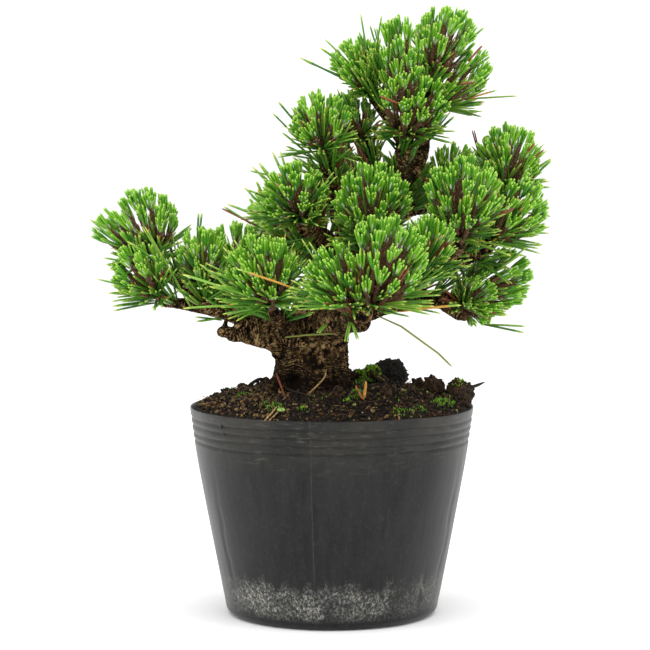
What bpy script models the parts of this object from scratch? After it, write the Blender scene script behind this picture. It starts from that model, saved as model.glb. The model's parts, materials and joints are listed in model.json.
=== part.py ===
# Japanese black pine, kotobuki form: a small trained tree in a black film nursery pot
# Metres, +Z up. The origin is the middle of the pot's flat underside and the viewer stands at -Y.
# Tables of places and sizes are in millimetres and are turned into metres by MM.

import math
import random

import bmesh
import bpy
from mathutils import Matrix, Vector

MM = 0.001
GAP = 0.3 * MM
SPARE = 1.15
GOLDEN_ANGLE = math.radians(137.508)

# Pot
MOUTH_RADIUS = 75.0 * MM
FOOT_RADIUS = 55.6 * MM
WALL_SWELL = 1.45 * MM
SWELL_RISE = 1.6
POT_HEIGHT = 110.8 * MM
WALL = 1.2 * MM
FLOOR = 1.6 * MM
CORNER_RADIUS = 5.5 * MM
CORNER_STEPS = 3
INNER_CORNER = (0.72, 0.52)
INNER_WALL_FOOT = 1.6 * CORNER_RADIUS
RIM_BEAD = 0.7 * MM
RIM_DEPTH = 2.6 * MM
RIB_COUNT = 4
RIB_PITCH = 4.0 * MM
RIB_TOP = 3.6 * MM
RIB_DEPTH = 0.55 * MM
BELOW_RIBS = POT_HEIGHT - RIB_TOP - (RIB_COUNT + 1) * RIB_PITCH
POT_STEPS = 36
WALL_RINGS = (0.7, 0.5, 0.3)
DRAIN_HOLES = 5
DRAIN_SIDES = 10
DRAIN_RADIUS = 4.0 * MM
DRAIN_CIRCLE = 34.0 * MM

# Soil
GROUND = 115.0 * MM
SOIL_EDGE_DROP = 1.5 * MM
SOIL_CROWN = 12.0 * MM
SOIL_SHOULDER = 3
SOIL_DIP = 5.0 * MM
SOIL_DIP_RADIUS = 24.0 * MM
SOIL_ROUGHNESS = 1.1 * MM
SOIL_WAVES = (190, 170, 60)
SOIL_RIPPLES = (410, 330, 0.6)
SOIL_INSET = 1.0 * MM
SOIL_RINGS = 5

# Trunk: x, y, z and radius at each bend, from the ground to the tip
TRUNK_BENDS = (
    (-11, 0, 115, 22.5),
    (-11, 1, 132, 19.2),
    (-9, 3, 148, 18.0),
    (-3, 6, 165, 14.5),
    (9, 8, 195, 9.5),
    (32, 6, 228, 5.2),
    (39.5, 2, 252, 4.1),
    (52, 0, 283, 2.6),
)
TRUNK_RINGS = 15
TRUNK_SIDES = 16
FLARE_LOBES = 5
FLARE_TURN = 0.9
FLARE_REACH = 9.0 * MM
FLARE_DEPTH = 0.16
FLUTES = 3
FLUTE_TWIST = 90
FLUTE_DEPTH = 0.05
FLUTED_HEIGHT = 90.0 * MM
FOOT_BAND = 1.5 * MM

# Boughs: parent, place along it, bend, tip, radius at the root and at the tip
BOUGHS = {
    "bough_left": ("trunk", 0.17, (-54, -4, 163), (-91, -11, 166.5), 8.2, 2.4),
    "bough_stub": ("trunk", 0.14, (-40, -12, 147), (-60, -15, 152), 6.4, 2.4),
    "bough_left_centre": ("trunk", 0.20, (-25, -28, 152), (-31, -44, 165), 7.0, 3.0),
    "bough_front": ("trunk", 0.21, (3, -38, 154), (18, -66, 166), 10.0, 4.6),
    "bough_lower": ("trunk", 0.24, (45, 8, 171), (69, 0, 165), 8.6, 3.4),
    "bough_back_left": ("trunk", 0.33, (-5, 34, 178), (-17, 46, 186), 8.0, 3.4),
    "bough_right": ("trunk", 0.36, (50, 6, 182), (85, -5, 195), 9.0, 3.4),
    "bough_centre_front": ("trunk", 0.40, (14, -19, 188), (21, -27, 197), 6.5, 3.4),
    "bough_shoulder_left": ("trunk", 0.42, (-6, -9, 203), (-18, -17, 206), 8.0, 3.4),
    "bough_shoulder_low": ("trunk", 0.47, (1, 15, 208), (-1, 9, 222), 4.2, 2.6),
    "bough_back_high": ("trunk", 0.51, (20, 28, 208), (25, 34, 218), 6.0, 3.2),
    "bough_upper_outer": ("trunk", 0.54, (3, -1, 220), (-5, -4, 243), 5.0, 2.6),
    "bough_upper_inner": ("trunk", 0.60, (26, 9, 240), (16, 6, 249), 3.4, 2.4),
    "bough_right_crest": ("trunk", 0.55, (48, 16, 214), (61, 18, 220), 4.6, 2.8),
    "bough_apex_back": ("trunk", 0.61, (58, 14, 236), (46, 17, 273), 4.2, 2.6),
    "bough_apex_left": ("trunk", 0.81, (30, 5, 264), (20, 5, 274), 3.6, 2.4),
    "bough_right_front": ("bough_right", 0.60, (62, -22, 188), (67, -32, 199), 4.8, 2.8),
    "bough_right_top": ("bough_right", 0.88, (87, 3, 206), (92, 4, 223), 4.0, 2.6),
    "bough_back_right": ("bough_right", 0.32, (45, 32, 187), (65, 46, 195), 6.0, 3.4),
    "bough_right_inner": ("bough_front", 0.78, (36, -58, 168), (47, -45, 182), 4.6, 2.6),
    "bough_left_high": ("bough_left", 0.62, (-78, -3, 174), (-96, 2, 186), 3.6, 2.8),
    "bough_left_small": ("bough_left", 0.66, (-70, -11, 166), (-67, -8, 172), 3.0, 2.2),
    "bough_left_mid": ("bough_left", 0.44, (-48, 4, 163), (-51, 4, 173), 3.4, 2.2),
}
BOUGH_RINGS = 5
THICK_BOUGH = 5.0
THICK_SIDES = 8
THIN_SIDES = 6
TIP_ANGLES = (45, 75)
TAPER = 0.75
CROOK = 0.16

# Masses of needles: limb, place along it, centre of the dome, its radius, length of old needles
MASSES = {
    "needles_apex_top": ("trunk", 1.0, (59.8, 0, 306.4), 17, 24),
    "needles_apex_mid": ("trunk", 0.91, (37.3, -14, 300.2), 17, 26),
    "needles_apex_front": ("trunk", 0.85, (43.5, -24, 275.5), 19, 28),
    "needles_apex_right": ("trunk", 0.94, (68.1, 6, 289.7), 17, 34),
    "needles_apex_left": ("bough_apex_left", 1.0, (13.6, 6, 289.6), 17, 32),
    "needles_apex_back": ("bough_apex_back", 1.0, (46.3, 30, 290.0), 18, 28),
    "needles_upper_outer": ("bough_upper_outer", 1.0, (-5.7, -6, 260.9), 17, 26),
    "needles_upper_inner": ("bough_upper_inner", 1.0, (13.5, 8, 267.5), 14, 26),
    "needles_upper_back": ("bough_back_high", 1.0, (7.3, 52, 247.3), 18, 28),
    "needles_centre_back": ("bough_back_high", 1.0, (42.3, 34, 226.6), 18, 26),
    "needles_shoulder_low": ("bough_shoulder_low", 1.0, (-3.1, 6, 237.1), 13, 24),
    "needles_shoulder_left": ("bough_shoulder_left", 1.0, (-18.6, -24, 222.4), 19, 36),
    "needles_centre_front": ("bough_centre_front", 1.0, (20.5, -38, 220.8), 21, 30),
    "needles_right_crest": ("bough_right_crest", 1.0, (66.0, 22, 233.0), 17, 26),
    "needles_right_top": ("bough_right_top", 1.0, (93.6, 4, 243.2), 18, 30),
    "needles_right_front": ("bough_right_front", 1.0, (67.5, -42, 224.1), 21, 32),
    "needles_right_outer": ("bough_right", 1.0, (95.2, -6, 216.6), 20, 30),
    "needles_right_inner": ("bough_right_inner", 1.0, (49.8, -52, 202.1), 14, 30),
    "needles_right_back": ("bough_back_right", 1.0, (82.7, 60, 222.5), 19, 28),
    "needles_back_low_right": ("bough_back_right", 1.0, (64.0, 66, 188.0), 18, 28),
    "needles_front_main": ("bough_front", 1.0, (26.8, -78, 194.5), 22, 38),
    "needles_front_left": ("bough_front", 1.0, (2.9, -74, 184.2), 18, 40),
    "needles_left_centre": ("bough_left_centre", 1.0, (-35.6, -52, 186.8), 19, 40),
    "needles_left_back": ("bough_back_left", 1.0, (-28.2, 52, 210.7), 19, 28),
    "needles_back_low_left": ("bough_back_left", 1.0, (-38.0, 62, 186.0), 18, 28),
    "needles_left_mid": ("bough_left_mid", 1.0, (-49.7, 4, 193.8), 16, 28),
    "needles_left_small": ("bough_left_small", 1.0, (-67.0, -10, 192.5), 15, 28),
    "needles_left_high": ("bough_left_high", 1.0, (-99.2, 2, 209.8), 18, 26),
    "needles_left_tip": ("bough_left_high", 1.0, (-117.4, -8, 205.5), 10, 18),
    "needles_left_low": ("bough_left", 1.0, (-100.9, -14, 183.6), 16, 26),
    "needles_lower_right": ("bough_lower", 1.0, (89.7, 4, 178.9), 18, 28),
    "needles_lower_tip": ("bough_lower", 1.0, (76.7, -10, 166.2), 14, 24),
}
STEM_RADIUS = 2.0 * MM
STEM_TAPER = 0.9
STEM_LENGTH = 4.5 * MM
STEM_SIDES = 6
OLD_NEEDLE_TIERS = ((0.30, 0.62, -8), (0.62, 1.0, 18))
OLD_NEEDLE_SHARE = 0.82
LEADER_RADIUS = 1.7 * MM
SUNK = 0.6 * MM
CORE_RADIUS = 1.2 * MM
CORE_SIDES = 4
CORE_LENGTH = 0.62
LEADER_WHORLS = ((0.30, 0.52, 40), (0.76, 1.0, 24))
SIDE_WHORLS = ((0.66, 1.0, 32),)
LEAN_SPREAD = 7
SIDE_SHOOTS = 5
FIRST_SHOOT = 0.22
LAST_SHOOT = 0.02
SHOOT_TILTS = (42, 68)
TILT_SPREAD = 4
TURN_SPREAD = 0.25
NEEDLE_REACH = 0.92
SHORTEST = 9.0 * MM
CLEAR = 0.45 * MM
SIDE_FACING = 0.7
END_FACING = 0.9

# Lumps that lie on the soil: place, radii, colour
LUMPS = {
    "peat_lump": ((33, 34), (10, 8, 9.5), (0.012, 0.010, 0.009)),
    "moss_lump": ((66, -6), (8.5, 6.5, 8), (0.060, 0.110, 0.015)),
}
LUMP_SEAT = 0.4
LUMP_ROUGHNESS = 0.14


# Scene
for old_object in list(bpy.data.objects):
    bpy.data.objects.remove(old_object, do_unlink=True)
parts = bpy.data.collections.new("potted_black_pine")
cutters = bpy.data.collections.new("cutters")
bpy.context.scene.collection.children.link(parts)
bpy.context.scene.collection.children.link(cutters)


def material(name, colour, roughness, metallic=0.0):
    """A Principled material with one colour, made once for each name."""
    if name in bpy.data.materials:
        return bpy.data.materials[name]
    result = bpy.data.materials.new(name)
    result.use_nodes = True
    shader = result.node_tree.nodes["Principled BSDF"]
    shader.inputs["Base Color"].default_value = (*colour, 1.0)
    shader.inputs["Roughness"].default_value = roughness
    shader.inputs["Metallic"].default_value = metallic
    return result


def place(name, mesh, finish=None, collection=parts):
    """Put a mesh in the scene as one named object."""
    obj = bpy.data.objects.new(name, mesh)
    if finish:
        mesh.materials.clear()
        mesh.materials.append(finish)
    collection.objects.link(obj)
    return obj


def make_cutter(obj):
    """Keep an object as a cutter only."""
    obj.hide_render = True
    obj.display_type = "WIRE"


def bake(obj):
    """Apply an object's modifiers and keep the largest closed body that they leave."""
    depsgraph = bpy.context.evaluated_depsgraph_get()
    mesh = bpy.data.meshes.new_from_object(obj.evaluated_get(depsgraph))
    obj.modifiers.clear()
    obj.data = mesh
    shell = bmesh.new()
    shell.from_mesh(mesh)
    groups = []
    unseen = set(shell.faces)
    while unseen:
        group = [unseen.pop()]
        for face in group:
            for edge in face.edges:
                for other in edge.link_faces:
                    if other in unseen:
                        unseen.remove(other)
                        group.append(other)
        groups.append(group)
    main = max(groups, key=lambda group: sum(face.calc_area() for face in group))
    scrap = [face for group in groups if group is not main for face in group]
    bmesh.ops.delete(shell, geom=scrap, context="FACES")
    shell.to_mesh(mesh)
    shell.free()


def cut(obj, cutter):
    """Add a Boolean difference for one cutter."""
    modifier = obj.modifiers.new(cutter.name, "BOOLEAN")
    modifier.operation = "DIFFERENCE"
    modifier.object = cutter


def tube(name, path, sides, extra, collection):
    """A round limb through (point, radius) pairs, as a welded mesh, extra thicker all over."""
    curve = bpy.data.curves.new(name, "CURVE")
    curve.dimensions = "3D"
    curve.bevel_depth = 1.0
    curve.bevel_resolution = (sides - 4) // 2
    curve.use_fill_caps = True
    spline = curve.splines.new("POLY")
    spline.points.add(len(path) - 1)
    for knot, (point, radius) in zip(spline.points, path):
        knot.co = (*point, 1.0)
        knot.radius = radius + extra
    round_curve = bpy.data.objects.new(name + "_curve", curve)
    cutters.objects.link(round_curve)
    depsgraph = bpy.context.evaluated_depsgraph_get()
    mesh = bpy.data.meshes.new_from_object(round_curve.evaluated_get(depsgraph))
    mesh.name = name
    bpy.data.objects.remove(round_curve)
    welded = bmesh.new()
    welded.from_mesh(mesh)
    bmesh.ops.remove_doubles(welded, verts=welded.verts, dist=0.002 * MM)
    bmesh.ops.recalc_face_normals(welded, faces=welded.faces)
    bmesh.ops.triangulate(welded, faces=welded.faces, quad_method="FIXED")
    welded.to_mesh(mesh)
    welded.free()
    return place(name, mesh, collection=collection)


def smooth_path(bends, rings):
    """Points and radii on a Catmull-Rom curve through the bends."""
    knots = [Vector(bend) * MM for bend in bends]
    knots = [knots[0] * 2 - knots[1], *knots, knots[-1] * 2 - knots[-2]]
    spans = len(knots) - 3
    path = []
    for ring in range(rings):
        place_on_curve = ring / (rings - 1) * spans
        span = min(int(place_on_curve), spans - 1)
        t = place_on_curve - span
        a, b, c, d = knots[span:span + 4]
        value = (b * 2 + (c - a) * t + (a * 2 - b * 5 + c * 4 - d) * t ** 2
                 + (b * 3 - a - c * 3 + d) * t ** 3) / 2
        path.append((value.to_3d(), value[3]))
    return path


def along(path, fraction):
    """Point, radius and direction at a fraction of a path's length."""
    lengths = [(path[i + 1][0] - path[i][0]).length for i in range(len(path) - 1)]
    left = fraction * sum(lengths)
    for i, length in enumerate(lengths):
        if left <= length or i == len(lengths) - 1:
            t = min(left / length, 1.0)
            point = path[i][0].lerp(path[i + 1][0], t)
            radius = path[i][1] + (path[i + 1][1] - path[i][1]) * t
            return point, radius, (path[i + 1][0] - path[i][0]).normalized()
        left -= length


def round_tip(path):
    """Draw a path's last point back and return the rings that round off its tip."""
    end_point, end_radius = path[-1]
    direction = (end_point - path[-2][0]).normalized()
    path[-1] = (end_point - direction * end_radius, end_radius)
    rings = []
    for angle in TIP_ANGLES:
        turn = math.radians(angle)
        point = end_point + direction * end_radius * (math.sin(turn) - 1)
        rings.append((point, end_radius * math.cos(turn)))
    return rings


def bough_path(name, parent_path, fraction, bend, tip, root_radius, tip_radius):
    """A crooked tapering limb on a quadratic curve from its parent's axis, with a round tip."""
    rng = random.Random(name)
    root = along(parent_path, fraction)[0]
    bend, tip = Vector(bend) * MM, Vector(tip) * MM
    path = []
    for ring in range(BOUGH_RINGS):
        t = ring / (BOUGH_RINGS - 1)
        point = root * (1 - t) ** 2 + bend * 2 * t * (1 - t) + tip * t ** 2
        radius = (root_radius + (tip_radius - root_radius) * t ** TAPER) * MM
        if 0 < ring < BOUGH_RINGS - 1:
            point += Vector([rng.uniform(-1, 1) for _ in range(3)]) * radius * CROOK
            radius *= 1 + rng.uniform(-0.5, 1) * CROOK
        path.append((point, radius))
    return path + round_tip(path)


def segment_gap(a, b, c, d):
    """Closest points of the segments a-b and c-d."""
    u, v, w = b - a, d - c, a - c
    uu, uv, vv, uw, vw = u.dot(u), u.dot(v), v.dot(v), u.dot(w), v.dot(w)
    spread = uu * vv - uv * uv
    s = min(max((uv * vw - vv * uw) / spread, 0.0), 1.0) if spread > 1e-15 else 0.5
    t = min(max((uv * s + vw) / vv, 0.0), 1.0)
    s = min(max((uv * t - uw) / uu, 0.0), 1.0)
    return a + u * s, c + v * t


# Film pot: a thin turned shell with shallow ribs under its rim and a flat, holed floor
def pot_radius(height):
    """Outer radius of the pot's wall at a height: a cone that swells most above its middle."""
    level = height / POT_HEIGHT
    return FOOT_RADIUS + (MOUTH_RADIUS - FOOT_RADIUS) * level + WALL_SWELL * math.sin(math.pi * level ** SWELL_RISE)


def inner_profile(lining):
    """Radius and height up the inside of the pot, from its floor's edge, drawn in by a lining."""
    corner_x = pot_radius(CORNER_RADIUS) - CORNER_RADIUS
    across, up = INNER_CORNER
    return [
        (corner_x - lining, FLOOR + lining),
        (corner_x + CORNER_RADIUS * across - 2 * lining, CORNER_RADIUS * up + lining),
        (pot_radius(INNER_WALL_FOOT) - WALL - lining, INNER_WALL_FOOT),
        (pot_radius(BELOW_RIBS) - WALL - RIB_DEPTH - 2 * lining, BELOW_RIBS),
    ]


def make_pot():
    """The turned shell, with its profile drawn from the rim down the outside and back up the inside."""
    outer = [(MOUTH_RADIUS - RIM_BEAD, POT_HEIGHT), (MOUTH_RADIUS, POT_HEIGHT - RIM_BEAD)]
    outer.append((MOUTH_RADIUS, POT_HEIGHT - RIM_DEPTH))
    for rib in range(RIB_COUNT):
        top = POT_HEIGHT - RIB_TOP - rib * RIB_PITCH
        outer.append((pot_radius(top), top))
        outer.append((pot_radius(top) - RIB_DEPTH, top - RIB_PITCH / 2))
    outer += [(pot_radius(POT_HEIGHT * level), POT_HEIGHT * level) for level in WALL_RINGS]
    corner_x = pot_radius(CORNER_RADIUS) - CORNER_RADIUS
    for step in range(CORNER_STEPS + 1):
        turn = math.radians(90 * step / CORNER_STEPS)
        outer.append((corner_x + CORNER_RADIUS * math.cos(turn), CORNER_RADIUS * (1 - math.sin(turn))))
    outer.append((0.0, 0.0))
    profile = outer + [(0.0, FLOOR), *inner_profile(0.0), (MOUTH_RADIUS - WALL - RIB_DEPTH, POT_HEIGHT)]
    last = len(profile)
    edges = [(i, (i + 1) % last) for i in range(last) if i != len(outer) - 1]
    mesh = bpy.data.meshes.new("pot")
    mesh.from_pydata([(radius, 0.0, height) for radius, height in profile], edges, [])
    pot = place("pot", mesh, material("black_film", (0.035, 0.037, 0.038), 0.5))
    turn = pot.modifiers.new("turn", "SCREW")
    turn.steps = turn.render_steps = POT_STEPS
    turn.use_merge_vertices = True
    turn.merge_threshold = 0.02 * MM
    for hole in range(DRAIN_HOLES):
        angle = math.tau * hole / DRAIN_HOLES
        drill = bmesh.new()
        bmesh.ops.create_cone(drill, cap_ends=True, segments=DRAIN_SIDES, radius1=DRAIN_RADIUS,
                              radius2=DRAIN_RADIUS, depth=FLOOR * 4)
        drill_mesh = bpy.data.meshes.new("drain_drill")
        drill.to_mesh(drill_mesh)
        drill.free()
        cutter = place(f"drain_drill_{hole}", drill_mesh, collection=cutters)
        cutter.location = (DRAIN_CIRCLE * math.cos(angle), DRAIN_CIRCLE * math.sin(angle), 0.0)
        make_cutter(cutter)
        cut(pot, cutter)
    return pot


# Soil: fills the pot with GAP to spare and mounds above its rim
def soil_height(x, y):
    """Height of the soil's rough top at a place."""
    edge = math.hypot(x, y) / (MOUTH_RADIUS - WALL)
    mound = SOIL_CROWN * (1 - edge ** SOIL_SHOULDER)
    from_trunk = math.hypot(x - TRUNK_BENDS[0][0] * MM, y - TRUNK_BENDS[0][1] * MM)
    dip = SOIL_DIP * math.exp(-(from_trunk / SOIL_DIP_RADIUS) ** 2)
    across, deep, slant = SOIL_WAVES
    bumps = math.sin(x * across + 1) * math.cos(y * deep - x * slant)
    across, deep, share = SOIL_RIPPLES
    bumps += share * math.sin(x * across - y * deep)
    return POT_HEIGHT - SOIL_EDGE_DROP + mound - dip + bumps * SOIL_ROUGHNESS * (1.2 - edge)


def make_soil(name, lift, collection, finish=None):
    """The soil as one closed loft of rings, its top raised by lift."""
    edge_radius = MOUTH_RADIUS - WALL - RIB_DEPTH - GAP - SOIL_INSET
    rings = [(radius, height, False) for radius, height in inner_profile(GAP)]
    rings += [(edge_radius * (1 - ring / SOIL_RINGS), 0.0, True) for ring in range(SOIL_RINGS)]
    loft = bmesh.new()
    loops = []
    for radius, height, on_top in rings:
        loop = []
        for step in range(POT_STEPS):
            angle = math.tau * step / POT_STEPS
            x, y = radius * math.cos(angle), radius * math.sin(angle)
            loop.append(loft.verts.new((x, y, soil_height(x, y) + lift if on_top else height)))
        loops.append(loop)
    for low, high in zip(loops, loops[1:]):
        for step in range(POT_STEPS):
            after = (step + 1) % POT_STEPS
            loft.faces.new((low[step], low[after], high[after], high[step]))
    bottom = loft.verts.new((0.0, 0.0, FLOOR + GAP))
    top = loft.verts.new((0.0, 0.0, soil_height(0.0, 0.0) + lift))
    for step in range(POT_STEPS):
        after = (step + 1) % POT_STEPS
        loft.faces.new((bottom, loops[0][after], loops[0][step]))
        loft.faces.new((top, loops[-1][step], loops[-1][after]))
    mesh = bpy.data.meshes.new(name)
    loft.to_mesh(mesh)
    loft.free()
    return place(name, mesh, finish, collection)


def make_lump(name, spot, radii, colour, soil_cutter):
    """A clod with its underside shaped to the soil that it lies on."""
    rng = random.Random(name)
    spot = Vector(spot) * MM
    height = soil_height(spot.x, spot.y)
    ball = bmesh.new()
    bmesh.ops.create_icosphere(ball, subdivisions=2, radius=1.0)
    for vert in ball.verts:
        size = 1 + rng.uniform(-LUMP_ROUGHNESS, LUMP_ROUGHNESS)
        vert.co = Vector([vert.co[axis] * radii[axis] * MM * size for axis in range(3)])
        vert.co += Vector((spot.x, spot.y, height + radii[2] * LUMP_SEAT * MM))
    mesh = bpy.data.meshes.new(name)
    ball.to_mesh(mesh)
    ball.free()
    lump = place(name, mesh, material(name, colour, 0.95))
    cut(lump, soil_cutter)
    bake(lump)


# Trunk and boughs
def flute(obj, path, foot):
    """Spread the trunk's foot into root lobes, and give its sides shallow flutes."""
    for vert in obj.data.vertices:
        height = max(vert.co.z - GROUND, 0.0)
        near = min(path, key=lambda ring: abs(ring[0].z - vert.co.z))[0]
        angle = math.atan2(vert.co.y - near.y, vert.co.x - near.x)
        lobes = math.exp(-height / FLARE_REACH) * math.cos(FLARE_LOBES * angle + FLARE_TURN)
        flutes = math.sin(FLUTES * angle + vert.co.z * FLUTE_TWIST) * min(1.0, height / FLARE_REACH)
        fade = max(0.0, 1 - height / FLUTED_HEIGHT)
        size = 1 + (FLARE_DEPTH * lobes + FLUTE_DEPTH * flutes) * fade
        vert.co.x = near.x + (vert.co.x - near.x) * size
        vert.co.y = near.y + (vert.co.y - near.y) * size
        if height < FOOT_BAND:
            vert.co.z = foot


def limbs_meet(path, other):
    """True where two limbs come closer than the gap between pieces."""
    for (a, ra), (b, rb) in zip(path, path[1:]):
        for (c, rc), (d, rd) in zip(other, other[1:]):
            near, far = segment_gap(a, b, c, d)
            if (near - far).length < max(ra, rb) + max(rc, rd) + 2 * GAP:
                return True
    return False


def make_limbs():
    """The trunk, then each bough with its root shaped to the limbs made before it."""
    bark = material("bark", (0.16, 0.105, 0.070), 0.9)
    paths = {"trunk": smooth_path(TRUNK_BENDS, TRUNK_RINGS)}
    paths["trunk"] += round_tip(paths["trunk"])
    trunk = tube("trunk", paths["trunk"], TRUNK_SIDES, 0.0, parts)
    trunk.data.materials.append(bark)
    flute(trunk, paths["trunk"], GROUND)
    sleeves = {"trunk": tube("trunk_sleeve", paths["trunk"], TRUNK_SIDES, GAP * SPARE, cutters)}
    flute(sleeves["trunk"], paths["trunk"], GROUND - GAP)
    for name, (parent, fraction, bend, tip, root_radius, tip_radius) in BOUGHS.items():
        path = bough_path(name, paths[parent], fraction, bend, tip, root_radius, tip_radius)
        sides = THICK_SIDES if root_radius > THICK_BOUGH else THIN_SIDES
        bough = tube(name, path, sides, 0.0, parts)
        bough.data.materials.append(bark)
        for other, other_path in paths.items():
            if limbs_meet(path, other_path):
                cut(bough, sleeves[other])
        bake(bough)
        paths[name] = path
        sleeves[name] = tube(name + "_sleeve", path, sides, GAP * SPARE, cutters)
    for sleeve in sleeves.values():
        make_cutter(sleeve)
    return paths, sleeves


# Masses of needles
def seats(paths):
    """Where each mass's stem stands: its foot, the way it points and the dome's centre."""
    result = {}
    for name, (limb, fraction, centre, _radius, _old) in MASSES.items():
        centre = Vector(centre) * MM
        point, radius, direction = along(paths[limb], fraction)
        if fraction < 1:
            way = centre - point
            way = (way - direction * way.dot(direction)).normalized()
        else:
            point, radius = paths[limb][-1 - len(TIP_ANGLES)]
            sharing = [row for row in MASSES.values() if row[0] == limb and row[1] == fraction]
            way = (centre - point).normalized()
            middle = sum(((Vector(row[2]) * MM - point).normalized() for row in sharing), Vector())
            way = (way * 2 - middle / len(sharing)).normalized()
        result[name] = (point + way * (radius + GAP), way, centre)
    return result


def spaces(stands):
    """Each mass's own space, as planes between its spine and those of its neighbours."""
    result = {name: [] for name in stands}
    for name, (foot, _way, centre) in stands.items():
        for other, (other_foot, _other_way, other_centre) in stands.items():
            if other == name:
                continue
            near, far = segment_gap(foot, centre, other_foot, other_centre)
            share = MASSES[name][3] / (MASSES[name][3] + MASSES[other][3])
            result[name].append((near.lerp(far, share), (far - near).normalized()))
    return result


def is_clear(a, b):
    """True where a straight piece stays off every limb."""
    for path in limb_paths.values():
        for (c, rc), (d, rd) in zip(path, path[1:]):
            near, far = segment_gap(a, b, c, d)
            if (near - far).length < max(rc, rd) + CLEAR:
                return False
    return True


def prism(a, b, root_radius, tip_radius, sides, bands):
    """A tapering core from a to b in a bmesh, with a ring of edges at each band's start."""
    direction = (b - a).normalized()
    turn = direction.to_track_quat("Z", "Y").to_matrix().to_4x4()
    core = bmesh.new()
    bmesh.ops.create_cone(core, cap_ends=True, segments=sides, radius1=root_radius, radius2=tip_radius,
                          depth=(b - a).length, matrix=Matrix.Translation((a + b) / 2) @ turn)
    for band in bands:
        everything = core.verts[:] + core.edges[:] + core.faces[:]
        bmesh.ops.bisect_plane(core, geom=everything, plane_co=a.lerp(b, band), plane_no=direction)
    return core


def band_faces(core, a, b, low, high):
    """The core's side faces whose middles lie between two fractions of its length."""
    axis = b - a
    faces = []
    for face in core.faces:
        level = (face.calc_center_median() - a).dot(axis) / axis.length_squared
        if low < level < high and abs(face.normal.dot(axis.normalized())) < SIDE_FACING:
            faces.append(face)
    return faces


def draw_out(core, face, tip):
    """Draw a needle out of a face of its core."""
    bmesh.ops.poke(core, faces=[face])["verts"][0].co = tip


def finish_piece(core, collection):
    """Turn a bmesh into an object in a collection."""
    mesh = bpy.data.meshes.new("piece")
    core.to_mesh(mesh)
    core.free()
    return place("piece", mesh, collection=collection)


def aside(direction, tilt, turn):
    """A direction tilted off another, turned round it."""
    across = direction.orthogonal().normalized()
    across = Matrix.Rotation(turn, 3, direction) @ across
    return direction * math.cos(tilt) + across * math.sin(tilt)


def way_out(start, direction, dome, planes):
    """Distance along a direction to the dome's surface or to the edge of the mass's space."""
    centre, radius = dome
    offset = start - centre
    along_ray = offset.dot(direction)
    inside = along_ray ** 2 - offset.dot(offset) + radius ** 2
    reach = math.sqrt(max(inside, 0.0)) - along_ray
    return min(reach, room(start, direction, planes))


def room(start, direction, planes):
    """Distance along a direction to the edge of a mass's space."""
    reach = math.inf
    for point, normal in planes:
        closing = direction.dot(normal)
        if closing > 0:
            reach = min(reach, ((point - start).dot(normal) - CLEAR) / closing)
    return reach


def outward(face, a, b):
    """Middle of a core's side face, and the way that it faces out from the core's axis."""
    middle = face.calc_center_median()
    axis = (b - a).normalized()
    out = middle - a
    return middle, (out - axis * out.dot(axis)).normalized()


def make_shoot(start, direction, core_radius, whorls, dome, planes, rng, collection):
    """A new shoot: a slim core with whorls of needles and a pointed end, on the dome's surface."""
    reach = way_out(start, direction, dome, planes)
    end = start + direction * reach * CORE_LENGTH
    if reach < SHORTEST or not is_clear(start, start + direction * reach):
        return
    bands = [level for low, high, _lean in whorls for level in (low, high) if level < 1]
    core = prism(start, end, core_radius, CORE_RADIUS, CORE_SIDES, bands)
    for low, high, lean in whorls:
        for face in band_faces(core, start, end, low, high):
            root, out = outward(face, start, end)
            turn = math.radians(lean + rng.uniform(-LEAN_SPREAD, LEAN_SPREAD))
            heading = direction * math.cos(turn) + out * math.sin(turn)
            length = way_out(root, heading, dome, planes) * rng.uniform(NEEDLE_REACH, 1.0)
            if length > SHORTEST / 2 and is_clear(root, root + heading * length):
                draw_out(core, face, root + heading * length)
    for face in list(core.faces):
        if face.normal.dot(direction) > END_FACING:
            draw_out(core, face, start + direction * reach)
    finish_piece(core, collection)


def make_stem(foot, hub, up, old_length, planes, rng):
    """The stem that stands on the limb, with the old needles that stand out of two bands of it."""
    bands = [low for low, _high, _rise in OLD_NEEDLE_TIERS]
    core = prism(foot, hub, STEM_RADIUS, STEM_RADIUS * STEM_TAPER, STEM_SIDES, bands)
    for tier, (low, high, tier_rise) in enumerate(OLD_NEEDLE_TIERS):
        for face in band_faces(core, foot, hub, low, high)[tier::2]:
            root, out = outward(face, foot, hub)
            rise = math.radians(tier_rise + rng.uniform(-LEAN_SPREAD, LEAN_SPREAD))
            level_out = (out - up * out.dot(up)).normalized()
            heading = level_out * math.cos(rise) + up * math.sin(rise)
            length = min(old_length * rng.uniform(OLD_NEEDLE_SHARE, 1.0), room(root, heading, planes))
            if length > SHORTEST / 2 and is_clear(root, root + heading * length):
                draw_out(core, face, root + heading * length)
    return finish_piece(core, parts)


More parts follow.
